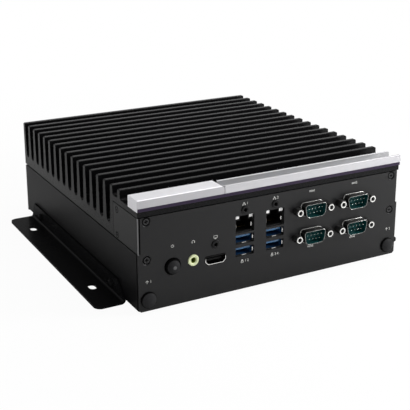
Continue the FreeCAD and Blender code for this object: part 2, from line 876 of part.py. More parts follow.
def shield(x):
    """Sheet box round one stack, open towards the board, with network windows and lined USB sockets."""
    front, rear = panel_sheet, panel_sheet + shield_depth
    side, top = shield_width / 2, lan_z + shield_above_lan
    shell = box(x - side, x + side, front, rear, board_top, top)
    hollow = box(x - side + shield_wall, x + side - shield_wall, front + shield_wall, rear - shield_wall,
                 board_top, top - shield_wall)
    low, high = front, front + shield_wall
    thin = 2 * window_gap
    windows = [prism_y(rectangle(x, lan_z, lan_window_width - thin, lan_window_height - thin), low, high)]
    windows += [prism_y(rectangle(x, z, usb_socket_width, usb_socket_height), low, high) for z in usb_z]
    return shell.cut([hollow] + windows).fuse([usb_liner(x, z) for z in usb_z]).removeSplitter()


def lan_lights(x, grow=0.0):
    """Two light pipes in the upper corners of a network socket, grown all round for their seats."""
    width, height = light_width + 2 * grow, light_height + 2 * grow
    return [prism_y(rectangle(x + side * light_from_middle, lan_z + light_rise, width, height),
                    panel_sheet, panel_sheet + light_depth + grow) for side in (-1, 1)]


def lan_cavity(x):
    """Space of a network plug, with the step of its latch at the top."""
    front, rear = panel_sheet, panel_sheet + lan_cavity_depth
    middle = lan_z - lan_cavity_drop
    top = middle + lan_cavity_height / 2
    main = prism_y(rectangle(x, middle, lan_cavity_width, lan_cavity_height), front, rear)
    latch = box(x - latch_width / 2, x + latch_width / 2, front, rear, top, top + latch_height)
    return [main, latch]


def lan_insert(x):
    """Moulded body of a network socket: its nose fills the shield's window."""
    front, rear = panel_sheet, panel_sheet + shield_depth - shield_wall - fit
    side = shield_width / 2 - shield_wall - fit
    top = lan_z + shield_above_lan - shield_wall - fit
    low = lan_z - lan_cavity_drop - lan_cavity_height / 2 - lan_floor_wall
    body = box(x - side, x + side, front + shield_wall + fit, rear, low, top)
    thin = 2 * (window_gap + fit)
    nose = prism_y(rectangle(x, lan_z, lan_window_width - thin, lan_window_height - thin),
                   front, front + shield_wall + fit)
    return body.fuse(nose).removeSplitter().cut(lan_cavity(x) + lan_lights(x, fit))


def lan_contacts(x):
    """Row of contact wires that lie just over the floor of a network socket."""
    y0 = panel_sheet + contact_from_front
    y1 = panel_sheet + lan_cavity_depth
    z = lan_z - lan_cavity_drop - lan_cavity_height / 2 + contact_lift
    first = x - (contact_count - 1) * contact_pitch / 2
    return [prism_y(rectangle(first + k * contact_pitch, z, contact_width, contact_width), y0, y1)
            for k in range(contact_count)]


def usb_insert(x):
    """Moulded block with a tongue in each USB socket, chamfered where the plug comes in."""
    front, rear = panel_sheet + shield_wall, panel_sheet + shield_depth - shield_wall - fit
    side = shield_width / 2 - shield_wall - fit
    top = lan_z - lan_cavity_drop - lan_cavity_height / 2 - lan_floor_wall - fit
    block = box(x - side, x + side, rear - usb_block_depth, rear, board_top, top)
    tip, root, half = front + usb_tongue_recess, rear - usb_block_depth, usb_tongue_thickness / 2
    tongues = []
    for z in usb_z:
        low, high = z + usb_tongue_rise - half, z + usb_tongue_rise + half
        section = [(tip, high, 0), (root, high, 0), (root, low, 0), (tip + usb_tongue_chamfer, low, 0),
                   (tip, low + usb_tongue_chamfer, 0)]
        tongues.append(prism_x(section, x - usb_tongue_width / 2, x + usb_tongue_width / 2))
    return block.fuse(tongues).removeSplitter()


# Display port


def display_shape(grow):
    """Outline of the display port: a slot with its lower corners cut off."""
    side, neck = display_width / 2 + grow, display_neck_width / 2 + grow / 2
    low, high = display_z - display_height / 2 - grow, display_z + display_height / 2 + grow
    shoulder = low + display_neck_height + grow / 2
    soft, softer = display_corner + grow, display_shoulder_round + grow
    right = [(neck, low, softer), (side, shoulder, softer), (side, high, soft)]
    corners = [(display_x + u, v, radius) for u, v, radius in right]
    return corners + [(display_x - u, v, radius) for u, v, radius in reversed(right)]


def display_shell():
    """Folded metal shell of the display port."""
    shell = prism_y(display_shape(0), -display_reach, display_depth)
    return shell.cut(prism_y(display_shape(-display_wall), -display_reach, display_depth))


def display_insert():
    """Moulded block at the back of the display port, with its contact tongue."""
    front = display_depth - display_block_depth
    block = prism_y(display_shape(-display_wall - fit), front, display_depth)
    tongue = prism_y(rectangle(display_x, display_z, display_tongue_width, display_tongue_thickness),
                     display_tongue_recess, front)
    return block.fuse(tongue).removeSplitter()


# Audio jack, button, studs and plugs


def audio_jack():
    """Coloured ring of the audio jack, bored for the plug, with a flared mouth."""
    section = [(audio_bore_radius + audio_mouth, -audio_ring_reach, 0),
               (audio_ring_radius - audio_ring_chamfer, -audio_ring_reach, 0),
               (audio_ring_radius, audio_ring_chamfer - audio_ring_reach, 0),
               (audio_ring_radius, panel_sheet, 0), (audio_bore_radius, panel_sheet, 0),
               (audio_bore_radius, audio_mouth - audio_ring_reach, 0)]
    return turned(section, audio_x, audio_z)


def audio_jack_body():
    """Moulded body of the audio jack on the board."""
    side, front = audio_body_width / 2, panel_sheet
    block = box(audio_x - side, audio_x + side, front, front + audio_body_depth, board_top, audio_z + side)
    return block.cut(rod_y(audio_bore_radius, audio_x, audio_z, front, front + audio_bore_depth))


def power_button():
    """Domed cap with a flange behind the panel and a stem that slides in the switch."""
    flange = button_radius + button_gap + button_flange
    tail = turned([(0.0, 0.0, 0), (button_radius, 0.0, 0), (button_radius, button_flange_front, 0),
                   (flange, button_flange_front, 0), (flange, button_flange_rear, 0),
                   (button_stem_radius, button_flange_rear, 0), (button_stem_radius, button_stem_end, 0),
                   (0.0, button_stem_end, 0)])
    button = dome(button_radius, button_rim, button_reach).fuse(tail).removeSplitter()
    return placed(button, button_x, 0, button_z)


def power_switch():
    """Switch body on the board, bored for the button's stem and its travel."""
    bore_end = button_stem_end + button_travel + button_stop_gap
    side = switch_width / 2
    block = box(button_x - side, button_x + side, switch_front, bore_end + switch_back,
                board_top, button_z + switch_above_stem)
    return block.cut(rod_y(button_stem_radius + fit, button_x, button_z, switch_front, bore_end))


def lock_studs():
    """Threaded studs clinched in the panel for the cable locks, with a low rim in front of it."""
    section = [(lock_bore_radius + lock_chamfer, -lock_reach, 0), (lock_radius - lock_edge, -lock_reach, 0),
               (lock_radius, lock_edge - lock_reach, 0), (lock_radius, lock_depth, 0),
               (lock_bore_radius, lock_depth, 0), (lock_bore_radius, lock_chamfer - lock_reach, 0)]
    return [turned(section, x, z) for x, z in lock_places]


def hole_plug(height):
    """Push-in plug: a domed cap of that height and a stem through the panel."""
    stem = rod_y(plug_stem_radius, 0, 0, 0, plug_stem_length)
    return dome(plug_radius, plug_rim, height).fuse(stem)


def front_hole_plugs():
    """Plugs low in the front panel's corners."""
    plug = hole_plug(plug_height)
    return [placed(plug, x, 0, z) for x, z in plug_places]


# Rear


def rear_plug_places():
    """Middles of the rear panel's aerial holes."""
    first = -(rear_plug_count - 1) * rear_plug_pitch / 2
    return [(first + k * rear_plug_pitch, rear_plug_rise) for k in range(rear_plug_count)]


def rear_hole_plugs():
    """Plugs in the rear panel."""
    plug = hole_plug(rear_plug_height)
    return [placed(plug, x, rear_face, z, 180) for x, z in rear_plug_places()]


def power_inlet():
    """Terminal block at the board's rear edge, with a wire hole and a clamp screw for each pole."""
    side, top, rear = inlet_width / 2, board_top + inlet_height, body_depth
    block = box(inlet_x - side, inlet_x + side, rear - inlet_depth, rear, board_top, top)
    pitch = inlet_width / inlet_poles
    holes = []
    for pole in range(inlet_poles):
        x = inlet_x + (pole - (inlet_poles - 1) / 2) * pitch
        holes.append(rod_y(inlet_hole_radius, x, board_top + inlet_hole_rise, rear - inlet_hole_depth, rear))
        holes.append(rod_z(inlet_screw_radius, x, rear - inlet_screw_from_rear, top - inlet_screw_depth, top))
    return block.cut(holes)


# Inside


def board_hole_places():
    """Middles of the board's fixing holes."""
    x = board_half - board_hole_from_edge
    y0, y1 = board_front + board_hole_from_front, board_rear - board_hole_from_rear
    return [(side * x, y) for y in (y0, (y0 + y1) / 2, y1) for side in (-1, 1)]


def carrier_board():
    """Circuit board under all the connectors."""
    board = box(-board_half, board_half, board_front, board_rear, board_low, board_top)
    return board.cut([rod_z(screw_radius + fit, x, y, board_low, board_top) for x, y in board_hole_places()])


def board_standoffs():
    """Hexagonal posts between the tray's floor and the board."""
    posts = []
    for x, y in board_hole_places():
        post = prism_z(regular(x, y, standoff_width, 6), tray_sheet, board_low)
        posts.append(post.cut(rod_z(screw_radius + fit, x, y, board_low - board_screw_length, board_low)))
    return posts


def board_screws():
    """Hexagon head screws that hold the board to its posts."""
    screws = []
    head_top = board_top + board_screw_head_height
    for x, y in board_hole_places():
        head = prism_z(regular(x, y, board_screw_head_width, 6), board_top, head_top)
        screws.append(head.fuse(rod_z(screw_radius, x, y, board_low - board_screw_length + fit, board_top)))
    return screws


def module_corner_places():
    """Middles of the computing module's fixing posts."""
    x = module_width / 2 - module_hole_inset
    y = module_depth / 2 - module_hole_inset
    return [(sx * x, module_middle + sy * y) for sx in (-1, 1) for sy in (-1, 1)]


def compute_module():
    """Module board with the processor's lid on it."""
    board = box(-module_width / 2, module_width / 2, module_front, module_front + module_depth,
                module_low, processor_low)
    half = processor_size / 2
    lid = box(-half, half, module_middle - half, module_middle + half, processor_low, pad_low)
    return board.fuse(lid)


def module_connector():
    """Connector that carries the module on the board."""
    rear = module_front + module_depth - connector_from_rear
    half = connector_width / 2
    return box(-half, half, rear - connector_depth, rear, board_top, module_low)


def module_standoffs():
    """Hexagonal posts under the module's corners."""
    return [prism_z(regular(x, y, module_post_width, 6), board_top, module_low)
            for x, y in module_corner_places()]


def thermal_pad():
    """Soft pad between the processor's lid and the heat spreader."""
    half = processor_size / 2 - pad_margin
    return box(-half, half, module_middle - half, module_middle + half, pad_low, spreader_low)


def heat_spreader():
    """Block that takes the heat up to the heat sink's underside."""
    half = spreader_size / 2
    return box(-half, half, module_middle - half, module_middle + half, spreader_low, seam_height)


def storage_card():
    """Plug-in storage card."""
    side = card_width / 2
    low = board_top + card_lift
    return box(card_from_middle - side, card_from_middle + side, card_front, card_front + card_length,
               low, low + card_sheet)


def storage_socket():
    """Edge socket of the storage card."""
    side, rear = card_width / 2, card_front + card_length
    return box(card_from_middle - side, card_from_middle + side, rear, rear + socket_depth,
               board_top, board_top + socket_height)


def storage_standoff():
    """Post under the free end of the storage card."""
    y = card_front + card_post_radius
    return rod_z(card_post_radius, card_from_middle, y, board_top, board_top + card_lift)


def pieces():
    """Every node's name with its solid, or its list of separate solids."""
    flat_screw, head_screw = panel_screw(), pan_screw(screw_length)
    made = {
        "heat_sink": heat_sink(),
        "front_panel": front_panel(),
        "chassis_base": chassis_base(),
        "rear_panel": rear_panel(),
        "nameplate_block": nameplate_block(),
        "trim_bar": trim_bar(),
        "accent_strip": accent_strip(),
        "right_bracket": right_bracket(),
        "left_bracket": mirrored(right_bracket()),
        "front_panel_screws": at_front(flat_screw),
        "side_screws": at_sides(side_screw()),
        "rear_panel_screws": at_rear(flat_screw),
        "bracket_screws": at_brackets(head_screw),
        "serial_pins": serial_pins(),
        "jack_screws": jack_screws(),
        "display_shell": display_shell(),
        "display_insert": display_insert(),
        "audio_jack": audio_jack(),
        "audio_jack_body": audio_jack_body(),
        "power_button": power_button(),
        "power_switch": power_switch(),
        "lock_studs": lock_studs(),
        "front_hole_plugs": front_hole_plugs(),
        "rear_hole_plugs": rear_hole_plugs(),
        "power_inlet": power_inlet(),
        "ground_screw": placed(head_screw, ground_x, rear_face, ground_z, 180),
        "carrier_board": carrier_board(),
        "board_standoffs": board_standoffs(),
        "board_screws": board_screws(),
        "compute_module": compute_module(),
        "module_connector": module_connector(),
        "module_standoffs": module_standoffs(),
        "thermal_pad": thermal_pad(),
        "heat_spreader": heat_spreader(),
        "storage_card": storage_card(),
        "storage_socket": storage_socket(),
        "storage_standoff": storage_standoff(),
        "lan_lights": lan_lights(stack_x[0]) + lan_lights(stack_x[1]),
        "lan_contacts": lan_contacts(stack_x[0]) + lan_contacts(stack_x[1]),
    }
    for number, (x, z) in enumerate(serial_places, start=1):
        made[f"serial_shell_{number}"] = serial_shell(x, z)
        made[f"serial_insert_{number}"] = serial_insert(x, z)
    for column, side in enumerate(("left", "right")):
        made[f"serial_housing_{side}"] = serial_housing(column)
        made[f"lan_usb_shield_{side}"] = shield(stack_x[column])
        made[f"lan_insert_{side}"] = lan_insert(stack_x[column])
        made[f"usb_insert_{side}"] = usb_insert(stack_x[column])
    return made


def main():
    os.makedirs("parts", exist_ok=True)
    for name, made in pieces().items():
        shape = Part.makeCompound(made) if isinstance(made, list) else made
        shape.translate(to_origin)
        shape.exportStep(f"parts/{name}.step")


main()
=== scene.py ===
import json
import math

import bmesh
import bpy
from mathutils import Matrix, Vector


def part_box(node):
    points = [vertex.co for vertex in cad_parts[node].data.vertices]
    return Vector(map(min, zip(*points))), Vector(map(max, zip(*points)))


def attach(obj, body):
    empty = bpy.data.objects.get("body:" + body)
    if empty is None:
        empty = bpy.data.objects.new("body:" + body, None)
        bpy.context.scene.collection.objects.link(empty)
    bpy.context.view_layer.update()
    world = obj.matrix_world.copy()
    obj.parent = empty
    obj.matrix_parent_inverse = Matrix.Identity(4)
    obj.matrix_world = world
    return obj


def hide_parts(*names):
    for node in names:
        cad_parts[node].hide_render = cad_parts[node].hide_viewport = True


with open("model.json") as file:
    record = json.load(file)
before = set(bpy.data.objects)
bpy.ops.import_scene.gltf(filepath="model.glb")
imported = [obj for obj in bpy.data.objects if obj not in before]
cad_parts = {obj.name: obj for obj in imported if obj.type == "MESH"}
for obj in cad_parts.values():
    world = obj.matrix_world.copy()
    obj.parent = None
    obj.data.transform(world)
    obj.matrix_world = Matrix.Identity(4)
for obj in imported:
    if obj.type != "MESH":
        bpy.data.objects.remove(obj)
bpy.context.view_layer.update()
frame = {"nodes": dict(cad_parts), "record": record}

# Looks of a fanless edge computer. Blender works in metres; sizes here are in millimetres, apart from
# merge_distance and those that say metres.
mm = 0.001
merge_distance = 1e-6
smooth_angle = math.radians(35)
upright = (math.pi / 2, 0, 0)

# Sides of what is turned, and the angles at which a rounded edge or nose has its points
round_sides, large_sides, screw_sides, bore_sides, stud_sides, pin_sides = 48, 64, 40, 36, 24, 12
hexagon = 6
quarter_turns, nose_turns = (0, 0.4, 0.8, 1.2, math.pi / 2), (0, 0.5, 1, math.pi / 2)

# Camera, at the photograph's viewing angle: place in metres, turn to the right of +Y, tilt downwards
camera_place = (-0.3181, -0.5872, 0.2637)
camera_turn_deg = 28.7
camera_tilt_deg = 16.35
camera_lens = 81.6
camera_shift = -0.14

# Studio, in metres and watts
light_target = Vector((0, 0, 0.04))
lamps = {
    "key_light": {"place": (0.63, -0.46, 0.34), "width": 0.25, "height": 0.25, "power": 7.0},
    "top_light": {"place": (0.35, 0.10, 1.20), "width": 0.9, "height": 0.9, "power": 8.5},
    "fill_light": {"place": (-1.00, -0.62, 0.32), "width": 0.25, "height": 0.6, "power": 1.2},
}
world_light = 0.2
wall_top, ceiling_start, ceiling_light = 0.16, 0.42, 0.3
floor_size = 12.0
shadow_reach, white_reach, shadow_white = 0.16, 0.55, 0.95
mirror_reach, mirror_white_reach, mirror_white = 0.25, 0.80, 0.0

# Grain: detail of its noise, how much wider its clouds are, and the noise between which roughness runs
grain_detail, cloud_detail, cloud_width, noise_low, noise_high = 3, 2, 14, 0.3, 0.7
# Width over which a zone of colour fades
zone_fade = 0.2

# Serial ports; each row of pins has a count and a place in row pitches
serial_count, upper_ports = 4, 2
shell_width, shell_height, shell_corner, shell_slope_deg = 18.0, 9.4, 2.6, 10.0
shell_reach, shell_wall, shell_foot = 5.3, 0.35, 0.4
shell_corner_steps, shell_foot_steps, shell_rim_steps = 7, 4, 3
pin_radius, pin_front, pin_back = 0.40, -4.4, -0.5
pin_pitch, pin_row_pitch, pin_rows = 2.77, 2.84, ((5, 0.5), (4, -0.5))
jack_pitch, jack_across_flats, jack_reach = 25.0, 5.0, 5.3
jack_face_radius, jack_chamfer, jack_bore_radius, jack_bore_depth = 2.3, 0.45, 1.2, 4.4
jack_mouth_radius, jack_mouth_depth, jack_seam = 1.5, 0.35, 0.06
jack_stud_radius, jack_stud_end = 1.4, 7.3
thread_depth, thread_pitch = 0.22, 0.7

# Network and USB stacks: heights above the foot of their shields, openings and springs
panel_sheet = 1.5
usb_rises, leaf_height = (4.4, 13.0), 21.7
usb_width, usb_height, lan_width = 12.6, 5.2, 11.8
spring_sheet, spring_height = 0.12, 2.4
lip_out, lip_forward, lip_width, lip_steps = 0.40, 0.35, 3.2, 4
leaf_length, leaf_rise, leaf_steps, leaf_start = 3.0, 0.5, 10, 0.3
# Where the painted blue reflection inside the USB sockets starts behind the shields' front, and its top above
# their foot
blue_reflection_start, blue_reflection_top = 0.5, 16.2

# Display port: where the painted shade on its rim starts, above its middle
display_shade_rise, display_shade_fade = 0.6, 1.2

# Button, plugs, audio ring and lock studs: sizes that the frame doesn't show
button_radius, button_rim, edge_round = 5.2, 0.9, 0.35
crown_steps, shoulder_in, shoulder_rise = 10, edge_round / 4, edge_round / 6
# Slopes from which the sides of the button and the plugs get painted shade
button_skirt_deg, plug_skirt_deg = 44.0, 35.0
button_highlight_radius = 1.1
button_flange_radius, button_flange_front, button_flange_rear, button_stem_radius = 6.8, 2.0, 2.8, 1.8
plug_radius, plug_rim, plug_stem_radius, plug_stem_length = 5.4, 0.9, 3.1, 3.5
front_plugs, rear_plugs = 2, 3
audio_radius, audio_reach, audio_round, audio_mouth_radius = 3.8, 0.6, 0.5, 2.45
audio_flare, audio_flare_depth = 0.2, 0.1
audio_bore_radius, audio_sleeve_radius, audio_sleeve_bore = 1.8, 1.78, 1.6
audio_sleeve_end, audio_sleeve_floor = 6.0, 5.0
lock_radius, lock_reach, lock_round, lock_bore_radius, lock_depth = 2.8, 0.8, 0.3, 1.25, 4.5
round_share = 0.7

# Trim: the front wall and the rear lip of its channel, which bound the painted shade inside the channel and
# the painted highlight on the lip
channel_wall, channel_lip_drop, channel_fade = 0.8, 1.0, 0.25

# Front panel: the painted highlight along its bends, the painted line of shade beside it and the painted
# shade on its flanges, measured from the sides and the front
bend_highlight_width, bend_highlight_depth, shade_line_width, shade_line_depth, flange_shade_inset = 0.75, 1.1, 1.65, 0.4, 0.3

# Screws
cross_arm_share, cross_width_share, cross_depth, cross_taper = 0.65, 0.36, 0.9, 0.45
flat_radius, flat_shank, flat_length = 2.75, 1.5, 7.0
side_radius, side_shank, side_length = 2.3, 1.25, 6.0
head_gap, groove_width, groove_bottom, groove_depth = 0.12, 0.60, 0.36, 0.25
edge_drop, face_tolerance, pick_share = head_gap / 3, 0.01, 0.1
pan_radius, pan_height, pan_crown = 2.8, 1.9, 1.3

# Printed signs: lines, ink and the heights of their rows above the tray's underside
ink = 0.05
line = 0.32
numeral_size, numeral_start, numeral_pitch, sign_shift = 3.1, 3.1, 2.2, 1.15
sign_scale, ring_sides = 0.82, 28
top_row, middle_row, low_row = 59.4, 40.4, 19.7
tray_underside = 1.5
rear_sign_gap = 3.2


# Nodes and materials


def colour(code):
    """Linear colour, with alpha, of an sRGB hex code."""
    parts = [int(code[index:index + 2], 16) / 255 for index in (1, 3, 5)]
    linear = [part / 12.92 if part <= 0.04045 else ((part + 0.055) / 1.055) ** 2.4 for part in parts]
    return (*linear, 1.0)


def add(tree, kind, sockets=None, **settings):
    """Adds a shader node; sockets gives each input's value, or the output that is linked to it."""
    node = tree.nodes.new(f"ShaderNode{kind}")
    for name, value in settings.items():
        setattr(node, name, value)
    for key, value in (sockets or {}).items():
        if isinstance(value, bpy.types.NodeSocket):
            tree.links.new(value, node.inputs[key])
        else:
            node.inputs[key].default_value = value
    return node


def bare_tree(owner):
    """Empty node tree of a material or a world."""
    owner.use_nodes = True
    owner.node_tree.nodes.clear()
    return owner.node_tree


def grained(name, dark, light, grain, rough, height, stretch=(1, 1, 1), **constants):
    """Material with a fine grain: two close colours, a range of roughness and a bump of that height.

    grain and height are in millimetres, stretch lengthens the grain along an axis, and constants are set
    on the shader's own sockets.
    """
    material = bpy.data.materials.new(name)
    tree = bare_tree(material)
    place = add(tree, "TexCoord").outputs["Object"]
    pulled = add(tree, "Mapping", {"Vector": place, "Scale": [1 / part for part in stretch]})
    grains = {"Vector": pulled.outputs[0], "Scale": 1 / (grain * mm), "Detail": grain_detail}
    fine = add(tree, "TexNoise", grains)
    clouds = {"Vector": place, "Scale": 1 / (cloud_width * grain * mm), "Detail": cloud_detail}
    cloudy = add(tree, "TexNoise", clouds)
    tint = add(tree, "Mix", {0: cloudy.outputs[0], 6: colour(dark), 7: colour(light)}, data_type="RGBA")
    span = {0: fine.outputs[0], 1: noise_low, 2: noise_high, 3: rough[0], 4: rough[1]}
    gloss = add(tree, "MapRange", span)
    bump = add(tree, "Bump", {"Height": fine.outputs[0], "Distance": height * mm})
    links = {"Base Color": tint.outputs[2], "Roughness": gloss.outputs[0], "Normal": bump.outputs[0]}
    shader = add(tree, "BsdfPrincipled", {**constants, **links})
    add(tree, "OutputMaterial", {"Surface": shader.outputs[0]})
    return material


satin, dull, duller, matt, deep = ({"Specular IOR Level": level} for level in (0.28, 0.20, 0.12, 0.08, 0.02))
metal, half_metal, no_metal = ({"Metallic": level} for level in (1.0, 0.5, 0.0))

# The real grain of these finishes is too fine for the render, so it is drawn as coarse as it needs to show
materials = {
    # Polyester powder baked on cast metal: soft black that glints along the fins' edges
    "heat_sink": grained(
        "powder_coated_die_cast_aluminium", "#060607", "#09090a", 0.6, (0.24, 0.32), 0.006, **duller),
    # The same powder on rolled sheet: finer and more even, a dull grey sheen under a lamp
    "black_sheet": grained(
        "powder_coated_steel_sheet", "#0e0e0f", "#111112", 0.5, (0.32, 0.40), 0.005, **satin),
    # Sprayed matt lacquer: smooth and deep black, with hardly any sheen
    "bracket_paint": grained("lacquered_steel_sheet", "#161617", "#19191a", 0.8, (0.22, 0.28), 0.001, **deep),
    # Blasted and clear anodised: white metal with a silky, even glow
    "silver_trim": grained(
        "blasted_anodised_aluminium", "#b7b6b9", "#bebdc0", 0.4, (0.36, 0.46), 0.004, **metal),
    # Moulded polycarbonate strip: dark purple, satin
    "accent_purple": grained(
        "moulded_purple_polycarbonate", "#251a2f", "#2a1e36", 0.5, (0.30, 0.38), 0.003, **dull),
    # Zinc plate turned black: dark metal with a dull glint on its edges
    "black_screws": grained(
        "black_zinc_plated_steel", "#1e1e1f", "#232324", 0.3, (0.30, 0.42), 0.004, **satin),
    # Bright plate on turned steel: light grey with a soft shine
    "plain_screws": grained(
        "nickel_plated_turned_steel", "#bdbcb8", "#c8c7c3", 0.3, (0.20, 0.30), 0.002, **metal),
    # Bright plate on pressed sheet: a mirror with faint drawing lines along its depth
    "nickel": grained(
        "nickel_plated_pressed_steel", "#d6d5d2", "#dddcda", 0.3, (0.08, 0.14), 0.001, (1, 8, 1), **metal),
    # Moulded polyester: matt deep teal
    "teal_plastic": grained("moulded_teal_polyester", "#0b3f40", "#0f4849", 0.4, (0.42, 0.54), 0.004, **dull),
    # Moulded nylon: matt black with a fine spark-eroded grain
    "black_plastic": grained("moulded_black_nylon", "#060606", "#090909", 0.4, (0.46, 0.60), 0.006, **duller),
    # Gold flash worn thin on drawn pins: whitish metal, only a little warm
    "gold_contacts": grained(
        "gold_flashed_drawn_pins", "#a3a8a3", "#b0b4af", 0.2, (0.12, 0.20), 0.001, (1, 6, 1), **metal),
    # Clear moulding seen end on: milky white
    "clear_lens": grained("moulded_clear_polycarbonate", "#f1f1ef", "#f7f7f6", 0.5, (0.14, 0.22), 0.002),
    # Moulded nylon, dyed through: mid blue with a satin glint along its edges
    "blue_plastic": grained("moulded_blue_nylon", "#33628c", "#386a96", 0.4, (0.20, 0.28), 0.002),
    # Moulded ABS, dyed through: pale lime with a soft gloss
    "lime_plastic": grained("moulded_lime_abs", "#d0d7ab", "#d9e0b6", 0.5, (0.26, 0.36), 0.003, **dull),
    # Moulded ABS from a finely blasted tool: even, matt black with hardly a highlight
    "button_plastic": grained(
        "moulded_matt_black_abs", "#282829", "#2c2c2d", 0.5, (0.40, 0.48), 0.003, **deep),
    # Zinc plate turned black on turned brass: dark, with a glint at the bore
    "black_studs": grained("black_zinc_plated_brass", "#09090a", "#0e0e0f", 0.3, (0.28, 0.40), 0.003, **dull),
    # Moulded rubber: even, matt black without a highlight
    "plug_rubber": grained("moulded_black_rubber", "#29292a", "#2d2d2e", 0.5, (0.42, 0.50), 0.004, **deep),
    # Moulded nylon, dyed through: leaf green, satin
    "green_terminal": grained("moulded_green_nylon", "#1c6b39", "#217540", 0.5, (0.40, 0.52), 0.005),
    # Lacquered board: green, with the weave of the glass just showing
    "circuit_board": grained("solder_masked_glass_fibre", "#14502f", "#1b5c38", 0.6, (0.26, 0.38), 0.006),
    # Milled block: cutter marks along X
    "bare_aluminium": grained(
        "milled_aluminium", "#b7b8ba", "#c5c6c8", 0.3, (0.24, 0.36), 0.004, (12, 1, 1), **metal),
    # Pressed silicone: grey, soft and quite matt
    "pad": grained("pressed_silicone_pad", "#8f959d", "#9aa0a8", 0.6, (0.62, 0.74), 0.008),
}
# Tin plate on pressed sheet: greyer and softer than the nickel
tin_plate = grained(
    "tin_plated_pressed_steel", "#8d8d8b", "#989896", 0.3, (0.20, 0.30), 0.001, (1, 8, 1), **metal)
# Thin tin on sheet and drawn hexagonal bar: dark grey metal without much shine, darker still as a painted
# dark reflection on the jack screws' flats and the serial shells' outsides
dark_tin_and_painted_reflection = grained(
    "thin_tinned_steel_and_painted_dark_reflection", "#4c4c4b", "#575756", 0.3, (0.30, 0.40), 0.002, (1, 8, 1), **metal)
# The inside of the serial shells: a painted teal reflection of the plastic on the tin, with a dull shine
painted_teal_reflection = grained(
    "tinned_steel_with_painted_teal_reflection", "#0f4647", "#134f50", 0.3, (0.25, 0.35), 0.001, (1, 8, 1),
    **half_metal)
# A thinner coat of the powder on the tray's sheet: blacker, with less sheen
thin_powder = grained("thinly_powder_coated_sheet", "#0b0b0c", "#0e0e0f", 0.5, (0.34, 0.42), 0.005, **matt)
# The nameplate, blasted with finer beads than the bar: whiter and more matt
fine_blasted = grained(
    "bead_blasted_anodised_aluminium", "#e8e7ea", "#efeef1", 0.4, (0.50, 0.60), 0.003, **metal)
# Painted shade in the recesses of the screws, their groove, cross and cone: quite black
recess_shade_black = grained("steel_with_painted_recess_shade", "#040404", "#060606", 0.3, (0.50, 0.60), 0.003, **deep)
# Painted shade on the sides of the button and the plugs: black without any sheen
skirt_shade_black = grained("black_skirt_with_painted_shade", "#050505", "#070707", 0.4, (0.60, 0.70), 0.006, **deep)
# Painted highlight on the middle of the button: dark grey
button_highlight_grey = grained("black_abs_with_painted_highlight", "#505051", "#575758", 0.5, (0.40, 0.48), 0.002, **dull)
# Gold-plated wires that lie deep in the sockets, dimmed to a dark brass colour as painted shade
shaded_contact_plate = grained(
    "gold_plated_wire_with_painted_shade", "#4e4227", "#5a4d2f", 0.2, (0.34, 0.44), 0.001, (1, 6, 1), **metal)
# The audio jack's sleeve: the lime plastic darkened to olive as painted shade inside the jack
shaded_lime_plastic = grained("moulded_lime_abs_with_painted_shade", "#6f7a2c", "#7a8634", 0.4, (0.36, 0.46), 0.003, **dull)
# Screen-printed ink: matt, off white, a little uneven from the screen's mesh
white_ink = grained("screen_printed_white_ink", "#b9b9b6", "#cacac7", 0.3, (0.55, 0.70), 0.004)


def middle(node):
    """Middle of a CAD node's box, in metres."""
    low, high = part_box(node)
    return (low + high) / 2


def zoned(name, base, code, inside, *edges):
    """Copy of a material with another colour, and other values on its shader's sockets, inside one zone.

    Each edge gives an axis, the place in metres where the zone starts and the place from which it is full;
    along X it counts from the middle to both sides.
    """
    material = base.copy()
    material.name = name
    tree = material.node_tree
    shader = next(node for node in tree.nodes if node.type == "BSDF_PRINCIPLED")
    spot = add(tree, "TexCoord").outputs["Object"]
    place = add(tree, "SeparateXYZ", {0: spot}).outputs
    across = add(tree, "Math", {0: place["X"]}, operation="ABSOLUTE").outputs[0]
    ways = {"X": across, "Y": place["Y"], "Z": place["Z"]}
    share = 1.0
    for axis, start, full in edges:
        passed = add(tree, "MapRange", {0: ways[axis], 1: start, 2: full}).outputs[0]
        share = add(tree, "Math", {0: share, 1: passed}, operation="MULTIPLY").outputs[0]
    plain = shader.inputs["Base Color"].links[0].from_socket
    tint = add(tree, "Mix", {0: share, 6: plain, 7: colour(code)}, data_type="RGBA")
    tree.links.new(tint.outputs[2], shader.inputs["Base Color"])
    for socket, value in inside.items():
        entry = shader.inputs[socket]
        outside = entry.links[0].from_socket if entry.links else entry.default_value
        change = add(tree, "Mix", {0: share, 2: outside, 3: value}, data_type="FLOAT")
        tree.links.new(change.outputs[0], entry)
    return material


def channel_finish():
    """Trim metal with painted shade inside the channel, where it is darker and duller.

    It starts behind the front wall and ends under the rear lip, whose top gets a painted white highlight.
    """
    low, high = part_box("trim_bar")
    front, lip, fade = low.y + channel_wall * mm, high.z - channel_lip_drop * mm, channel_fade * mm
    behind = ("Y", front, front + fade)
    # Painted shade: darker and duller inside the channel
    inside = zoned("anodised_aluminium_channel_with_painted_shade", materials["silver_trim"], "#a6a6a8", half_metal,
                   behind, ("Z", lip, lip - fade))
    # Painted highlight: white along the top of the rear lip
    return zoned("drawn_anodised_aluminium_channel_with_cut_lip", inside, "#e8e8ea", no_metal,
                 behind, ("Z", lip - fade, lip))


def plate_finish():
    """The nameplate's blasted metal, with painted shade that makes its front face greyer."""
    front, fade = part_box("nameplate_block")[0].y, zone_fade * mm
    return zoned("bead_blasted_aluminium_with_painted_front_shade", fine_blasted, "#afaeb1", {},
                 ("Y", front + fade, front))


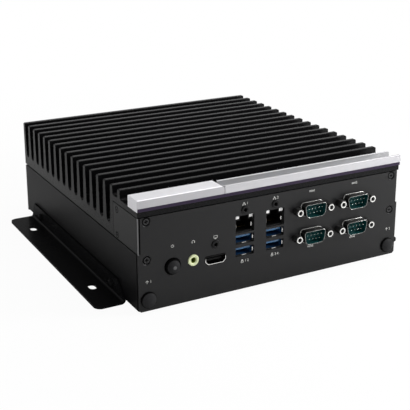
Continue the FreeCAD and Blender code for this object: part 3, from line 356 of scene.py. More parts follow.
def bend_finish():
    """The panel's powder, with painted shade on its flanges, a painted highlight along the bends and a
    painted line of shade beside them.

    A black with some metal in it has less sheen, and the export keeps that.
    """
    low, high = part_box("front_panel")
    seam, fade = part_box("chassis_base")[1].z, zone_fade * mm
    above = ("Z", seam, seam + fade)
    side, back = high.x - flange_shade_inset * mm, low.y + bend_highlight_depth * mm
    # Painted shade on the flanges: darker, with less sheen
    thin = zoned("powder_coated_sheet_with_painted_flange_shade", materials["black_sheet"], "#0d0d0e", half_metal,
                 ("X", side - fade, side), ("Y", back, back + fade))
    edge, depth = high.x - shade_line_width * mm, low.y + shade_line_depth * mm
    # Painted shade: a black line beside the bends
    shade_lined = zoned("powder_coated_sheet_with_painted_shade_beside_bends", thin, "#030303", metal,
                  ("X", edge - fade, edge), ("Y", depth + fade, depth), above)
    # Painted highlight: a light strip along the bends
    edge = high.x - bend_highlight_width * mm
    return zoned("powder_coated_sheet_with_painted_bend_highlight", shade_lined, "#787879", no_metal,
                 ("X", edge - fade, edge), ("Y", back + fade, back), above)


def socket_finish():
    """Tin of the shields, with a painted blue reflection of the nylon inside the USB sockets."""
    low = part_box("lan_usb_shield_left")[0]
    front, top, fade = low.y + blue_reflection_start * mm, low.z + blue_reflection_top * mm, zone_fade * mm
    return zoned("tinned_steel_with_painted_blue_reflection", dark_tin_and_painted_reflection, "#17385c", no_metal,
                 ("Y", front, front + fade), ("Z", top + fade, top))


def display_finish():
    """Bright plate of the display port's shell, with painted shade along its upper edge."""
    height = middle("display_shell").z + display_shade_rise * mm
    return zoned("nickel_plated_steel_with_painted_shade_on_upper_edge", materials["nickel"], "#2b2b2b", {},
                 ("Z", height, height + display_shade_fade * mm))


def dress_nodes():
    """Gives each CAD node the material of its slot in the record, or its own finish."""
    socket = socket_finish()
    own = {"trim_bar": channel_finish(), "display_shell": display_finish(), "lan_contacts": shaded_contact_plate,
           "lan_usb_shield_left": socket, "lan_usb_shield_right": socket,
           "chassis_base": thin_powder, "nameplate_block": plate_finish(), "front_panel": bend_finish()}
    for part in frame["record"]["subparts"]:
        slots = frame["nodes"][part["node"]].data.materials
        slots.clear()
        slots.append(own.get(part["node"], materials[part["material_slot"]]))


# Tools


def new_piece(name, add_primitive, **settings):
    """Adds a primitive by its operator, with its place in its mesh, and opens it in edit mode."""
    bpy.ops.object.select_all(action="DESELECT")
    add_primitive(**settings)
    piece = bpy.context.object
    piece.name = name
    bpy.ops.object.transform_apply()
    bpy.ops.object.mode_set(mode="EDIT")
    return piece


def pick(piece, kind, test):
    """Selects only the vertices or the faces whose middle passes the test."""
    bpy.ops.mesh.select_mode(type=kind)
    bpy.ops.mesh.select_all(action="DESELECT")
    form = bmesh.from_edit_mesh(piece.data)
    for part in form.verts if kind == "VERT" else form.faces:
        points = [part] if kind == "VERT" else part.verts
        part.select_set(test(sum((point.co for point in points), Vector()) / len(points)))
    form.select_flush_mode()
    bmesh.update_edit_mesh(piece.data)


def take_all():
    """Selects all of the piece that is open in edit mode."""
    bpy.ops.mesh.select_all(action="SELECT")


def draw_out(x, y, z):
    """Extrudes what is selected."""
    bpy.ops.mesh.extrude_region_move(TRANSFORM_OT_translate={"value": (x * mm, y * mm, z * mm)})


def close_form(piece):
    """Merges doubles, turns the faces outwards, leaves edit mode and smooths all but the sharp edges."""
    bpy.ops.mesh.select_mode(type="VERT")
    take_all()
    bpy.ops.mesh.remove_doubles(threshold=merge_distance)
    bpy.ops.mesh.normals_make_consistent()
    bpy.ops.object.mode_set(mode="OBJECT")
    bpy.ops.object.shade_smooth_by_angle(angle=smooth_angle)
    return piece


def turned(name, profile, sides=round_sides):
    """Piece turned about Y from a profile of (radius, y)."""
    piece = new_piece(name, bpy.ops.mesh.primitive_plane_add, size=mm)
    bpy.ops.mesh.merge(type="CENTER")
    bpy.ops.transform.translate(value=(profile[0][0] * mm, profile[0][1] * mm, 0))
    for before, after in zip(profile, profile[1:]):
        draw_out(after[0] - before[0], after[1] - before[1], 0)
    take_all()
    bpy.ops.mesh.spin(steps=sides, angle=math.tau, center=(0, 0, 0), axis=(0, 1, 0))
    return close_form(piece)


def select_only(*pieces):
    """Selects these pieces alone and makes the first one active."""
    bpy.ops.object.select_all(action="DESELECT")
    for piece in pieces:
        piece.select_set(True)
    bpy.context.view_layer.objects.active = pieces[0]


def apply_modifier(piece, kind, **settings):
    """Adds a modifier with its settings and applies it."""
    select_only(piece)
    modifier = piece.modifiers.new(kind.lower(), kind)
    for name, value in settings.items():
        setattr(modifier, name, value)
    bpy.ops.object.modifier_apply(modifier=modifier.name)


def copied(piece, place, turn=(0, 0, 0)):
    """Copy of a piece with its own mesh, at a place in metres and turned about X, Y and Z."""
    select_only(piece)
    bpy.ops.object.duplicate()
    copy = bpy.context.object
    copy.location = place
    copy.rotation_euler = turn
    return copy


def copies(piece, places):
    """One piece of copies at places (x, y, z, and a turn about Z in degrees), instead of the piece itself."""
    made = []
    for x, y, z, *turn in places:
        made.append(copied(piece, (x, y, z), (0, 0, math.radians(sum(turn)))))
    name = piece.name
    bpy.data.objects.remove(piece)
    return joined(name, made)


def joined(name, pieces):
    """Joins pieces to one with that name, with its place in its mesh."""
    select_only(*pieces)
    if len(pieces) > 1:
        bpy.ops.object.join()
    whole = bpy.context.object
    whole.name = name
    bpy.ops.object.transform_apply()
    return whole


def put_on(piece, slot, *stands_for, body="case", finish=None):
    """Gives a piece its material and its body, and hides the CAD nodes that it stands for."""
    piece.data.materials.clear()
    piece.data.materials.append(finish or materials[slot])
    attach(piece, body)
    if stands_for:
        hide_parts(*stands_for)


def two_toned(piece, finish, test):
    """Gives another material to the faces that pass the test."""
    piece.data.materials.append(finish)
    for side in piece.data.polygons:
        if test(side):
            side.material_index = len(piece.data.materials) - 1


def skirted(piece, skirt_deg):
    """Gives the sides of a domed piece painted shade, from that slope of its crown outwards."""
    least = math.cos(math.radians(skirt_deg))
    two_toned(piece, skirt_shade_black, lambda side: abs(side.normal.y) < least)


panel_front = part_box("front_panel")[0].y
panel_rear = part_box("rear_panel")[1].y
serial_middles = [middle(f"serial_shell_{number}") for number in range(1, serial_count + 1)]


def rounded(start, across, y, along, turns=quarter_turns):
    """Profile of a rounded edge or nose, from a radius and a y outwards and back."""
    return [(start + across * math.sin(turn), y + along * (1 - math.cos(turn))) for turn in turns]


def shank(radius, start, end):
    """Profile of a straight end, along its side and in to the axis."""
    return [(radius, start), (radius, end), (0, end)]


def thread(radius, start, end):
    """Profile of a thread's grooves in a bore, from start to end along Y."""
    points = []
    for k in range(int((end - start) / thread_pitch)):
        y = start + k * thread_pitch
        points += [(radius, y), (radius + thread_depth, y + thread_pitch / 2)]
    return points + [(radius, end)]


def on_panel(place, x=0, z=0):
    """Point on the front panel's face, at an offset from a place in metres."""
    return (place.x + x * mm, panel_front, place.z + z * mm)


# Serial ports


def inset_arc(steps, across, along):
    """Insets and raises the selected face in steps; across and along give how far, up to a quarter turn."""
    for step in range(steps):
        start, end = (k / steps * math.pi / 2 for k in (step, step + 1))
        rise = along(end) - along(start)
        bpy.ops.mesh.inset(thickness=(across(end) - across(start)) * mm, depth=rise * mm)


def serial_shell():
    """Pressed D-shaped shell at the origin: a flared foot on the panel, a wall and a rolled rim."""
    rim, foot = shell_wall / 2, shell_foot
    width, height = shell_width + 2 * foot, shell_height + 2 * foot
    shell = new_piece("serial_shell_pressing", bpy.ops.mesh.primitive_plane_add, size=mm, rotation=upright)
    bpy.ops.transform.resize(value=(width, 1, height))
    pick(shell, "VERT", lambda place: place.z < 0)
    narrow = 1 - 2 * height * math.tan(math.radians(shell_slope_deg)) / width
    bpy.ops.transform.resize(value=(narrow, 1, 1), center_override=(0, 0, 0))
    take_all()
    bpy.ops.mesh.bevel(offset=(shell_corner + foot) * mm, segments=shell_corner_steps, affect="VERTICES")
    pick(shell, "FACE", lambda place: True)
    inset_arc(shell_foot_steps, lambda turn: foot * math.sin(turn), lambda turn: -foot * math.cos(turn))
    draw_out(0, -(shell_reach - foot - rim), 0)
    inset_arc(shell_rim_steps, lambda turn: -rim * math.cos(turn), lambda turn: rim * math.sin(turn))
    inset_arc(shell_rim_steps, lambda turn: rim * math.sin(turn), lambda turn: rim * math.cos(turn))
    draw_out(0, shell_reach - rim, 0)
    bpy.ops.mesh.delete(type="FACE")
    bpy.ops.mesh.select_mode(type="EDGE")
    bpy.ops.mesh.select_non_manifold()
    bpy.ops.mesh.bridge_edge_loops()
    return close_form(shell)


def serial_pins():
    """Round-nosed pins of the four ports, in a long and a short row each."""
    nose = rounded(0, pin_radius, pin_front, pin_radius, nose_turns)
    pin = turned("serial_round_pins", nose + [(pin_radius, pin_back), (0, pin_back)], pin_sides)
    places = []
    for port in serial_middles:
        for count, row in pin_rows:
            columns = [(k - (count - 1) / 2) * pin_pitch for k in range(count)]
            places += [on_panel(port, x, row * pin_row_pitch) for x in columns]
    put_on(copies(pin, places), "gold_contacts", "serial_pins")


def jack_screws():
    """Hexagonal jack screws with a round chamfered face, a threaded bore and a stud through the panel."""
    half_side = math.pi / hexagon
    corner = jack_across_flats / 2 / math.cos(half_side)
    screw = new_piece("jack_screw", bpy.ops.mesh.primitive_circle_add, vertices=hexagon, radius=corner * mm,
                      fill_type="NOTHING", rotation=(math.pi / 2, half_side, 0))
    bpy.ops.mesh.subdivide(number_cuts=bore_sides // hexagon - 1)
    bpy.ops.mesh.edge_face_add()
    draw_out(0, -(jack_reach - jack_chamfer), 0)
    draw_out(0, -jack_chamfer, 0)
    bpy.ops.transform.tosphere(value=1.0)
    take_all()
    bpy.ops.mesh.normals_make_consistent()
    pick(screw, "FACE", lambda place: place.y < -(jack_reach - face_tolerance) * mm)
    form = bmesh.from_edit_mesh(screw.data)
    rim = max(vert.co.xz.length for face in form.faces if face.select for vert in face.verts)
    share = jack_face_radius * mm / rim
    bpy.ops.transform.resize(value=(share, 1, share), center_override=(0, -jack_reach * mm, 0))
    bpy.ops.mesh.inset(thickness=(jack_face_radius - jack_mouth_radius) * mm)
    bpy.ops.mesh.delete(type="FACE")
    close_form(screw)
    bottom = jack_bore_depth - jack_reach
    mouth = [(jack_mouth_radius, -jack_reach)]
    grooves = thread(jack_bore_radius, jack_mouth_depth - jack_reach, bottom)
    bore = turned("jack_bore", mouth + grooves + [(0, bottom)], bore_sides)
    stud = turned("jack_stud", [(0, 0)] + shank(jack_stud_radius, 0, jack_stud_end), stud_sides)
    whole = joined("jack_screw_turnings", [screw, bore, stud])
    bpy.ops.object.mode_set(mode="EDIT")
    take_all()
    bpy.ops.mesh.remove_doubles(threshold=jack_seam * mm)
    close_form(whole)
    places = [on_panel(port, side * jack_pitch / 2) for port in serial_middles for side in (-1, 1)]
    whole = copies(whole, places)
    # Painted dark reflection: the jack screws are dark tin but for their bright nickel face
    put_on(whole, "nickel", "jack_screws", finish=dark_tin_and_painted_reflection)
    face = panel_front - (jack_reach - face_tolerance) * mm
    two_toned(whole, materials["nickel"], lambda side: side.center.y < face)


def serial_ports():
    """Shells, pins and jack screws of the four ports."""
    shell = serial_shell()
    rim, foot = panel_front - (shell_reach - shell_wall) * mm, panel_front - shell_foot * mm
    for number, port in enumerate(serial_middles, 1):
        pressing = joined(f"serial_pressing_{number}", [copied(shell, on_panel(port))])
        put_on(pressing, "nickel", f"serial_shell_{number}", finish=tin_plate)
        # The wall gets a painted dark reflection outside, and a painted teal reflection of the plastic inside
        for finish, way in ((dark_tin_and_painted_reflection, 1), (painted_teal_reflection, -1)):
            two_toned(pressing, finish, lambda side: rim < side.center.y < foot
                      and way * (side.center - port).dot(side.normal) > 0)
    bpy.data.objects.remove(shell)
    serial_pins()
    jack_screws()


# Springs of the network and USB stacks


def sprung_strip(width, path):
    """Strip of spring sheet that follows path (z, y) from the origin."""
    strip = new_piece("strip", bpy.ops.mesh.primitive_plane_add, size=width * mm)
    pick(strip, "VERT", lambda point: point.y > 0)
    bpy.ops.mesh.delete(type="VERT")
    take_all()
    bpy.ops.transform.translate(value=(0, width / 2 * mm, 0))
    for before, after in zip(path, path[1:]):
        draw_out(0, after[1] - before[1], after[0] - before[0])
    take_all()
    bpy.ops.mesh.normals_make_consistent()
    bpy.ops.object.mode_set(mode="OBJECT")
    apply_modifier(strip, "SOLIDIFY", thickness=spring_sheet * mm, offset=0.0)
    bpy.ops.object.shade_smooth_by_angle(angle=smooth_angle)
    return strip


def stack_springs():
    """Flared lips at each USB socket's edges, and a bowed leaf on each side of the network sockets."""
    # A lip makes a quarter turn from the socket's wall outwards to the front
    turns = [k / lip_steps * math.pi / 2 for k in range(lip_steps + 1)]
    lip_path = [(-lip_out * (1 - math.cos(turn)), -lip_forward * math.sin(turn)) for turn in turns]
    # A leaf leaves the wall steeply at the front and slopes back to it
    shares = [k / leaf_steps for k in range(leaf_steps + 1)]
    leaf_path = [(leaf_rise * math.sin(share * math.pi), leaf_length * share ** 2) for share in shares]
    wide_lip, tall_lip = (sprung_strip(width, lip_path) for width in (lip_width, spring_height))
    leaf = sprung_strip(spring_height, leaf_path)
    strips = []
    front = panel_front + panel_sheet * mm
    for side in ("left", "right"):
        low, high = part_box(f"lan_usb_shield_{side}")
        x = (low.x + high.x) / 2
        for rise in usb_rises:
            for quarter in range(4):
                turn = quarter * math.pi / 2
                lip, reach = (tall_lip, usb_width) if quarter % 2 else (wide_lip, usb_height)
                away = reach / 2 * mm
                place = (x - away * math.sin(turn), front, low.z + rise * mm - away * math.cos(turn))
                strips.append(copied(lip, place, (0, turn, 0)))
        away = (lan_width - spring_sheet) / 2 * mm
        for turn in (math.pi / 2, -math.pi / 2):
            place = (x - away * math.sin(turn), front + leaf_start * mm, low.z + leaf_height * mm)
            strips.append(copied(leaf, place, (0, turn, 0)))
    for strip in (wide_lip, tall_lip, leaf):
        bpy.data.objects.remove(strip)
    put_on(joined("stack_springs", strips), "nickel")


# Button, plugs, audio ring and lock studs


def dome_profile(radius, rim, height):
    """Profile of a domed cap: crown, a rounded shoulder and a straight rim, from the axis to the foot."""
    rise = height - rim
    ball = (radius ** 2 + rise ** 2) / (2 * rise)
    reach = math.asin(radius / ball)
    turns = [reach * k / crown_steps for k in range(crown_steps)]
    crown = rounded(0, ball, -height, ball, turns)
    shoulder = [(radius - shoulder_in, -rim - shoulder_rise), (radius, -rim + edge_round)]
    return crown + shoulder + [(radius, 0)]


def power_button():
    """Domed button with its flange and stem."""
    low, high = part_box("power_button")
    height, end = (panel_front - low.y) / mm, (high.y - panel_front) / mm
    tail = [(button_radius, button_flange_front), (button_flange_radius, button_flange_front),
            (button_flange_radius, button_flange_rear)]
    tail += shank(button_stem_radius, button_flange_rear, end)
    button = turned("power_button_cap", dome_profile(button_radius, button_rim, height) + tail, large_sides)
    axis, spot = middle("power_button"), button_highlight_radius * mm
    button = copies(button, [on_panel(axis)])
    put_on(button, "button_plastic", "power_button", body="button")
    skirted(button, button_skirt_deg)
    # Painted highlight on the middle of the crown
    two_toned(button, button_highlight_grey,
              lambda side: side.center.y < panel_front and (side.center - axis).xz.length < spot)


def hole_plugs():
    """Domed plugs in the aerial holes of both panels."""
    stem = shank(plug_stem_radius, 0, plug_stem_length)
    ends = (("front", panel_front, front_plugs, 0), ("rear", panel_rear, rear_plugs, 180))
    for end, face, count, turn in ends:
        node = f"{end}_hole_plugs"
        height = abs(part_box(node)[1 if turn else 0].y - face) / mm
        profile = dome_profile(plug_radius, plug_rim, height) + stem
        plug = turned(f"{end}_plug_caps", profile, large_sides)
        plugs = copies(plug, [(x, face, middle(node).z, turn) for x in plug_columns(node, count)])
        put_on(plugs, "plug_rubber", node)
        skirted(plugs, plug_skirt_deg)


def plug_columns(node, count):
    """Places along X of a row of plugs."""
    low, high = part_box(node)
    first, last = low.x + plug_radius * mm, high.x - plug_radius * mm
    return [first + (last - first) * k / (count - 1) for k in range(count)]


def audio_ring():
    """Rounded ring of the audio jack with a flared mouth, and the sleeve inside the jack's body."""
    edge = rounded(audio_radius - audio_round, audio_round, -audio_reach, audio_round)
    bore = [(audio_radius, panel_sheet), (audio_bore_radius, panel_sheet), (audio_bore_radius, 0)]
    flare = (audio_mouth_radius - audio_flare, audio_flare_depth - audio_reach)
    mouth = [flare, (audio_mouth_radius, -audio_reach)]
    place = [on_panel(middle("audio_jack"))]
    ring_piece = turned("audio_ring", edge + bore + mouth + edge[:1], large_sides)
    put_on(copies(ring_piece, place), "lime_plastic", "audio_jack")
    wall = shank(audio_sleeve_radius, 0, audio_sleeve_end)
    floor = shank(audio_sleeve_bore, 0, audio_sleeve_floor)[::-1]
    sleeve = turned("audio_sleeve", wall + floor + wall[:1])
    put_on(copies(sleeve, place), "lime_plastic", finish=shaded_lime_plastic)


def lock_studs():
    """Turned studs with a rounded rim and a threaded bore."""
    face = lock_radius - lock_round
    rim = [(face, -lock_reach),
           (face + lock_round * round_share, lock_round * (1 - round_share) - lock_reach),
           (lock_radius, lock_round - lock_reach), (lock_radius, lock_depth)]
    bore = thread(lock_bore_radius, thread_depth - lock_reach, lock_depth)
    start = [(lock_bore_radius + thread_depth, -lock_reach)]
    stud = turned("lock_stud_turnings", start + rim + bore[::-1] + start)
    low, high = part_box("lock_studs")
    upper, lower = high.z - lock_radius * mm, low.z + lock_radius * mm
    spots = {"lan_usb_shield_left": upper, "lan_usb_shield_right": upper, "display_shell": lower}
    places = [(middle(node).x, panel_front, z) for node, z in spots.items()]
    put_on(copies(stud, places), "black_studs", "lock_studs")


# Screws


def cross_cutter(face, radius):
    """Tapered cross that cuts a screw head of that radius whose face is at that y."""
    width = cross_width_share * radius
    cutter = new_piece("cross_cutter", bpy.ops.mesh.primitive_cube_add, size=mm)
    bpy.ops.transform.resize(value=(width, 2 * cross_depth, width))
    edge, arm = width / 2 * mm, cross_arm_share * radius - width / 2
    for x, z in ((1, 0), (-1, 0), (0, 1), (0, -1)):
        side = Vector((x * edge, 0, z * edge))
        pick(cutter, "FACE", lambda place: (place - side).length < pick_share * edge)
        draw_out(x * arm, 0, z * arm)
    pick(cutter, "VERT", lambda place: place.y > 0)
    bpy.ops.transform.resize(value=(cross_taper, 1, cross_taper), center_override=(0, cross_depth * mm, 0))
    take_all()
    bpy.ops.transform.translate(value=(0, face * mm, 0))
    return close_form(cutter)


def cross_screw(name, profile):
    """Turned screw with a cross cut in its head."""
    screw = turned(name, profile, screw_sides)
    cutter = cross_cutter(profile[0][1], max(radius for radius, y in profile))
    apply_modifier(screw, "BOOLEAN", object=cutter, operation="DIFFERENCE", solver="EXACT")
    bpy.data.objects.remove(cutter)
    bpy.ops.object.mode_set(mode="EDIT")
    return close_form(screw)


def flat_head(radius, neck, length):
    """Profile of a flat head with a groove between its face and the edge of its cone."""
    edge = radius - head_gap
    groove = [(edge - groove_width, 0), (edge - groove_bottom, groove_depth), (edge, edge_drop)]
    return [(0, 0)] + groove + shank(neck, radius - neck, length)


def pan_head():
    """Profile of a rounded head that stands on its seat at y = 0."""
    crown = rounded(pan_crown, pan_radius - pan_crown, -pan_height, pan_crown)
    return [(0, -pan_height)] + crown + [(pan_radius, 0)] + shank(flat_shank, 0, flat_length)


def corners(node, radius):
    """Middles (x, z) of four screws in the corners of their node's box."""
    low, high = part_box(node)
    inset = radius * mm
    return [(x, z) for x in (low.x + inset, high.x - inset) for z in (low.z + inset, high.z - inset)]


def set_screws(name, profile, places, node, slot="black_screws", finish=None):
    """Puts cross screws at places, instead of a CAD node."""
    heads = copies(cross_screw(name, profile), places)
    put_on(heads, slot, node, finish=finish)
    return heads


def screws():
    """Screws of the panels, flanges and brackets, and the earth screw."""
    flat = flat_head(flat_radius, flat_shank, flat_length)
    for end, turn in (("front", 0), ("rear", 180)):
        node = f"{end}_panel_screws"
        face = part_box(node)[1 if turn else 0].y
        places = [(x, face, z, turn) for x, z in corners(node, flat_radius)]
        heads = set_screws(f"{end}_cross_screws", flat, places, node)
        # Painted shade on all but the flat of the head
        two_toned(heads, recess_shade_black, lambda side: abs(side.center.y - face) > face_tolerance * mm)
    low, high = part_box("side_screws")
    heights = (low.z + side_radius * mm, high.z - side_radius * mm)
    places = [(side * high.x, (low.y + high.y) / 2, z, side * 90) for side in (-1, 1) for z in heights]
    flat = flat_head(side_radius, side_shank, side_length)
    heads = set_screws("side_cross_screws", flat, places, "side_screws")
    # Painted shade on all but the flat of the head
    two_toned(heads, recess_shade_black, lambda side: high.x - abs(side.center.x) > face_tolerance * mm)
    low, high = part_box("bracket_screws")
    depths = (low.y + pan_radius * mm, high.y - pan_radius * mm)
    seat, height = high.x - pan_height * mm, (low.z + high.z) / 2
    places = [(side * seat, y, height, side * 90) for side in (-1, 1) for y in depths]
    # These are lacquered together with the brackets
    lacquer = materials["bracket_paint"]
    set_screws("bracket_cross_screws", pan_head(), places, "bracket_screws", finish=lacquer)
    earth = middle("ground_screw")
    place = (earth.x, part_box("ground_screw")[1].y - pan_height * mm, earth.z, 180)
    set_screws("earth_cross_screw", pan_head(), [place], "ground_screw", "plain_screws")


# Printed signs, drawn in millimetres about their middles and then scaled by sign_scale


def bar(width=line, height=line, x=0, z=0, turn_deg=0):
    """Adds a bar to the sign that is open in edit mode."""
    place = (x * mm, 0, z * mm)
    bpy.ops.mesh.primitive_plane_add(size=mm, location=place, rotation=upright)
    bpy.ops.transform.resize(value=(width, 1, height), center_override=place)
    if turn_deg:
        bpy.ops.transform.rotate(value=math.radians(turn_deg), orient_axis="Y", center_override=place)


def ring(radius, x=0):
    """Adds a round line to the sign that is open in edit mode."""
    bpy.ops.mesh.primitive_circle_add(vertices=ring_sides, radius=radius * mm, fill_type="NGON",
                                      location=(x * mm, 0, 0), rotation=upright)
    bpy.ops.mesh.inset(thickness=line * mm)
    bpy.ops.mesh.delete(type="FACE")


def outline(width, height, z):
    """Adds a rectangular line to the sign that is open in edit mode."""
    bar(width, height, z=z)
    bpy.ops.mesh.inset(thickness=line * mm)
    bpy.ops.mesh.delete(type="FACE")


def power_sign():
    """Open circle with a bar in its gap."""
    gap_floor, gap_half = 0.6, 0.65
    ring(radius=1.25)
    pick(bpy.context.object, "FACE", lambda place: place.z > gap_floor * mm and abs(place.x) < gap_half * mm)
    bpy.ops.mesh.delete(type="FACE")
    bar(height=1.3, z=0.8)


def headphones_sign():
    """Head band and two ear cups."""
    band_end, cup_side = -0.1, 1.05
    ring(radius=1.3)
    pick(bpy.context.object, "FACE", lambda place: place.z < band_end * mm)
    bpy.ops.mesh.delete(type="FACE")
    for side in (-1, 1):
        bar(width=0.6, height=1.1, x=side * cup_side, z=-0.6)


def monitor_sign():
    """Screen on a foot."""
    outline(width=3.4, height=2.1, z=0.35)
    bar(height=0.5, z=-0.95)
    bar(width=1.8, z=-1.3)


def network_sign():
    """Three boxes joined by lines."""
    out, up, stem = 1.05, 0.85, 0.25
    for x, z in ((0, up), (-out, -up), (out, -up)):
        bar(width=0.9, height=0.8, x=x, z=z)
    bar(height=2 * stem, z=stem)
    bar(width=2.4)
    for side in (-1, 1):
        bar(height=2 * stem, x=side * out, z=-stem)


def plug_sign():
    """Square plug on a wider body."""
    outline(width=1.5, height=1.3, z=0.85)
    outline(width=2.3, height=1.6, z=-0.55)


def serial_sign():
    """Bits in a row: bar, ring, bar, ring."""
    columns = (-1.65, -0.5, 0.6, 1.75)
    for k, x in enumerate(columns):
        if k % 2:
            ring(radius=0.75, x=x)
        else:
            bar(height=1.5, x=x)


def aerial_sign():
    """Mast with two spread arms."""
    arm_out, spread_deg = 0.62, 42
    bar(height=2.4, z=-0.2)
    for side in (-1, 1):
        bar(height=1.7, x=side * arm_out, z=arm_out, turn_deg=side * spread_deg)


def plus_sign():
    """Plus."""
    minus_sign()
    bar(height=2.2)


def minus_sign():
    """Minus."""
    bar(width=2.2)


def earth_sign():
    """Line down to three bars that shorten."""
    widths, first, pitch = (2.4, 1.5, 0.7), 0.2, 0.65
    bar(height=1.4, z=0.9)
    for row, width in enumerate(widths):
        bar(width=width, z=first - pitch * row)


def numeral(number, x):
    """Numeral as a mesh, beside a sign."""
    bpy.ops.object.select_all(action="DESELECT")
    bpy.ops.object.text_add(radius=numeral_size * mm, location=(x * mm, 0, 0), rotation=upright)
    text = bpy.context.object
    text.data.body = str(number)
    text.data.align_x = text.data.align_y = "CENTER"
    bpy.ops.object.convert(target="MESH")
    bpy.ops.object.transform_apply()
    return bpy.context.object


def printed(name, draw, place, numbers=(), turn=0.0):
    """Sign, with numerals beside it, in a thin layer of ink on a panel at a place in metres."""
    sign = new_piece(name, bpy.ops.mesh.primitive_plane_add, size=mm)
    bpy.ops.mesh.delete(type="VERT")
    draw()
    take_all()
    shift = sign_shift * len(numbers)
    bpy.ops.transform.translate(value=(-shift * mm, 0, 0))
    bpy.ops.object.mode_set(mode="OBJECT")
    pieces = [sign]
    for index, number in enumerate(numbers):
        pieces.append(numeral(number, numeral_start - shift + numeral_pitch * index))
    sign = joined(name, pieces)
    apply_modifier(sign, "SOLIDIFY", thickness=ink * mm, offset=1.0)
    sign.scale = (sign_scale, 1, sign_scale)
    sign.rotation_euler.z = turn
    sign.location = place
    bpy.ops.object.transform_apply()
    sign.data.materials.append(white_ink)
    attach(sign, "case")


def row_place(node, row):
    """Place on the panel over a node's middle, in a printed row."""
    return (middle(node).x, panel_front, (row + tray_underside) * mm)


def front_prints():
    """Signs beside each port."""
    printed("power_print", power_sign, row_place("power_button", middle_row))
    printed("audio_print", headphones_sign, row_place("audio_jack", middle_row))
    printed("display_print", monitor_sign, row_place("display_shell", middle_row))
    for number, side in enumerate(("left", "right"), 1):
        stack = f"lan_usb_shield_{side}"
        printed(f"network_print_{number}", network_sign, row_place(stack, top_row), [number])
        printed(f"usb_print_{number}", plug_sign, row_place(stack, low_row), [2 * number - 1, 2 * number])
    for number in range(1, serial_count + 1):
        row = top_row if number <= upper_ports else low_row
        printed(f"serial_print_{number}", serial_sign, row_place(f"serial_shell_{number}", row), [number])
    for number, x in enumerate(plug_columns("front_hole_plugs", front_plugs), 1):
        place = (x, panel_front, (low_row + tray_underside) * mm)
        printed(f"aerial_print_{number}", aerial_sign, place, [number])


def rear_prints():
    """Signs over the power terminals, the earth screw and the rear aerial holes."""
    low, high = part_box("power_inlet")
    signs = {"plus": plus_sign, "minus": minus_sign, "earth": earth_sign}
    pole = (high.x - low.x) / len(signs)
    row = high.z + rear_sign_gap * mm
    for index, (name, sign) in enumerate(signs.items()):
        printed(f"{name}_print", sign, (low.x + (index + 0.5) * pole, panel_rear, row), turn=math.pi)
    place = (middle("ground_screw").x, panel_rear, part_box("ground_screw")[1].z + rear_sign_gap * mm)
    printed("earth_screw_print", earth_sign, place, turn=math.pi)
    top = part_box("rear_hole_plugs")[1].z + rear_sign_gap * mm
    for number, x in enumerate(plug_columns("rear_hole_plugs", rear_plugs), front_plugs + 1):
        printed(f"aerial_print_{number}", aerial_sign, (x, panel_rear, top), [number], math.pi)


# Studio


def add_lamp(name, place, width, height, power):
    """Rectangular softbox turned to the object."""
    aim = (light_target - Vector(place)).to_track_quat("-Z", "Y").to_euler()
    bpy.ops.object.light_add(type="AREA", location=place, rotation=aim)
    lamp = bpy.context.object
    lamp.name = name
    lamp.data.shape = "RECTANGLE"
    lamp.data.size, lamp.data.size_y = width, height
    lamp.data.energy = power
    lamp.visible_camera = False


def mirror_rays(tree):
    """1 for rays that come by a reflection or through clear plastic."""
    path = add(tree, "LightPath").outputs
    both = {0: path["Is Glossy Ray"], 1: path["Is Transmission Ray"]}
    return add(tree, "Math", both, operation="MAXIMUM").outputs[0]


def add_world():
    """White background with a weaker even light on the object; reflections show a greyer ceiling."""
    world = bpy.data.worlds.new("studio")
    bpy.context.scene.world = world
    tree = bare_tree(world)
    way = add(tree, "TexCoord").outputs["Generated"]
    height = add(tree, "SeparateXYZ", {0: way}).outputs["Z"]
    span = {0: height, 1: wall_top, 2: ceiling_start, 3: 1.0, 4: ceiling_light}
    room = add(tree, "MapRange", span).outputs[0]
    mirrored = add(tree, "Math", {0: room, 1: mirror_rays(tree)}, operation="MULTIPLY").outputs[0]
    straight = add(tree, "LightPath").outputs["Is Camera Ray"]
    seen = add(tree, "Math", {0: straight, 1: mirrored}, operation="MAXIMUM").outputs[0]
    level = add(tree, "Math", {0: seen, 1: world_light}, operation="MAXIMUM").outputs[0]
    light = add(tree, "Background", {"Color": colour("#ffffff"), "Strength": level})
    add(tree, "OutputWorld", {"Surface": light.outputs[0]})


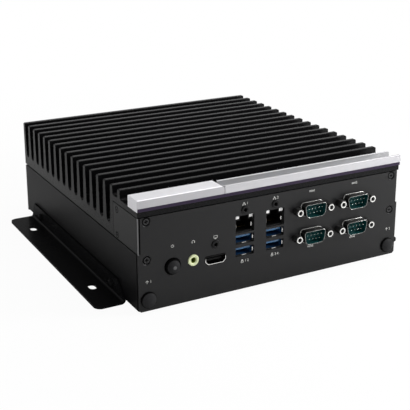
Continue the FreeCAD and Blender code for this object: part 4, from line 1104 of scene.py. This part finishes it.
def floor_material():
    """Matt white paper that keeps the shadow near the object and fades to the white background further out.

    The camera sees little of the shadow; what reflects the floor sees it as it is lit.
    """
    material = bpy.data.materials.new("white_studio_paper")
    tree = bare_tree(material)
    place = add(tree, "TexCoord").outputs["Object"]
    away = add(tree, "VectorMath", {0: place}, operation="LENGTH").outputs["Value"]
    straight = add(tree, "LightPath").outputs["Is Camera Ray"]
    shares = []
    for rays, near, far, least in ((straight, shadow_reach, white_reach, shadow_white),
                                   (mirror_rays(tree), mirror_reach, mirror_white_reach, mirror_white)):
        fade = add(tree, "MapRange", {0: away, 1: near, 2: far, 3: least, 4: 1.0},
                   interpolation_type="SMOOTHSTEP")
        part = add(tree, "Math", {0: fade.outputs[0], 1: rays}, operation="MULTIPLY")
        shares.append(part.outputs[0])
    share = add(tree, "Math", {0: shares[0], 1: shares[1]}, operation="MAXIMUM").outputs[0]
    paper = add(tree, "BsdfDiffuse", {"Color": colour("#f4f4f4")})
    white = add(tree, "Emission", {"Color": colour("#ffffff")})
    shader = add(tree, "MixShader", {0: share, 1: paper.outputs[0], 2: white.outputs[0]})
    add(tree, "OutputMaterial", {"Surface": shader.outputs[0]})
    return material


def add_floor():
    """Floor that the bracket feet stand on."""
    bpy.ops.object.select_all(action="DESELECT")
    bpy.ops.mesh.primitive_plane_add(size=floor_size)
    floor = bpy.context.object
    floor.name = "floor"
    floor.data.materials.append(floor_material())


def add_camera():
    """Camera of the photograph."""
    turn = (math.radians(90 - camera_tilt_deg), 0, -math.radians(camera_turn_deg))
    bpy.ops.object.camera_add(location=camera_place, rotation=turn)
    camera = bpy.context.object
    camera.data.lens = camera_lens
    camera.data.shift_y = camera_shift
    bpy.context.scene.camera = camera


dress_nodes()
serial_ports()
stack_springs()
power_button()
hole_plugs()
audio_ring()
lock_studs()
screws()
front_prints()
rear_prints()
add_floor()
for name, settings in lamps.items():
    add_lamp(name, **settings)
add_world()
add_camera()
bpy.context.scene.view_settings.view_transform = "Standard"
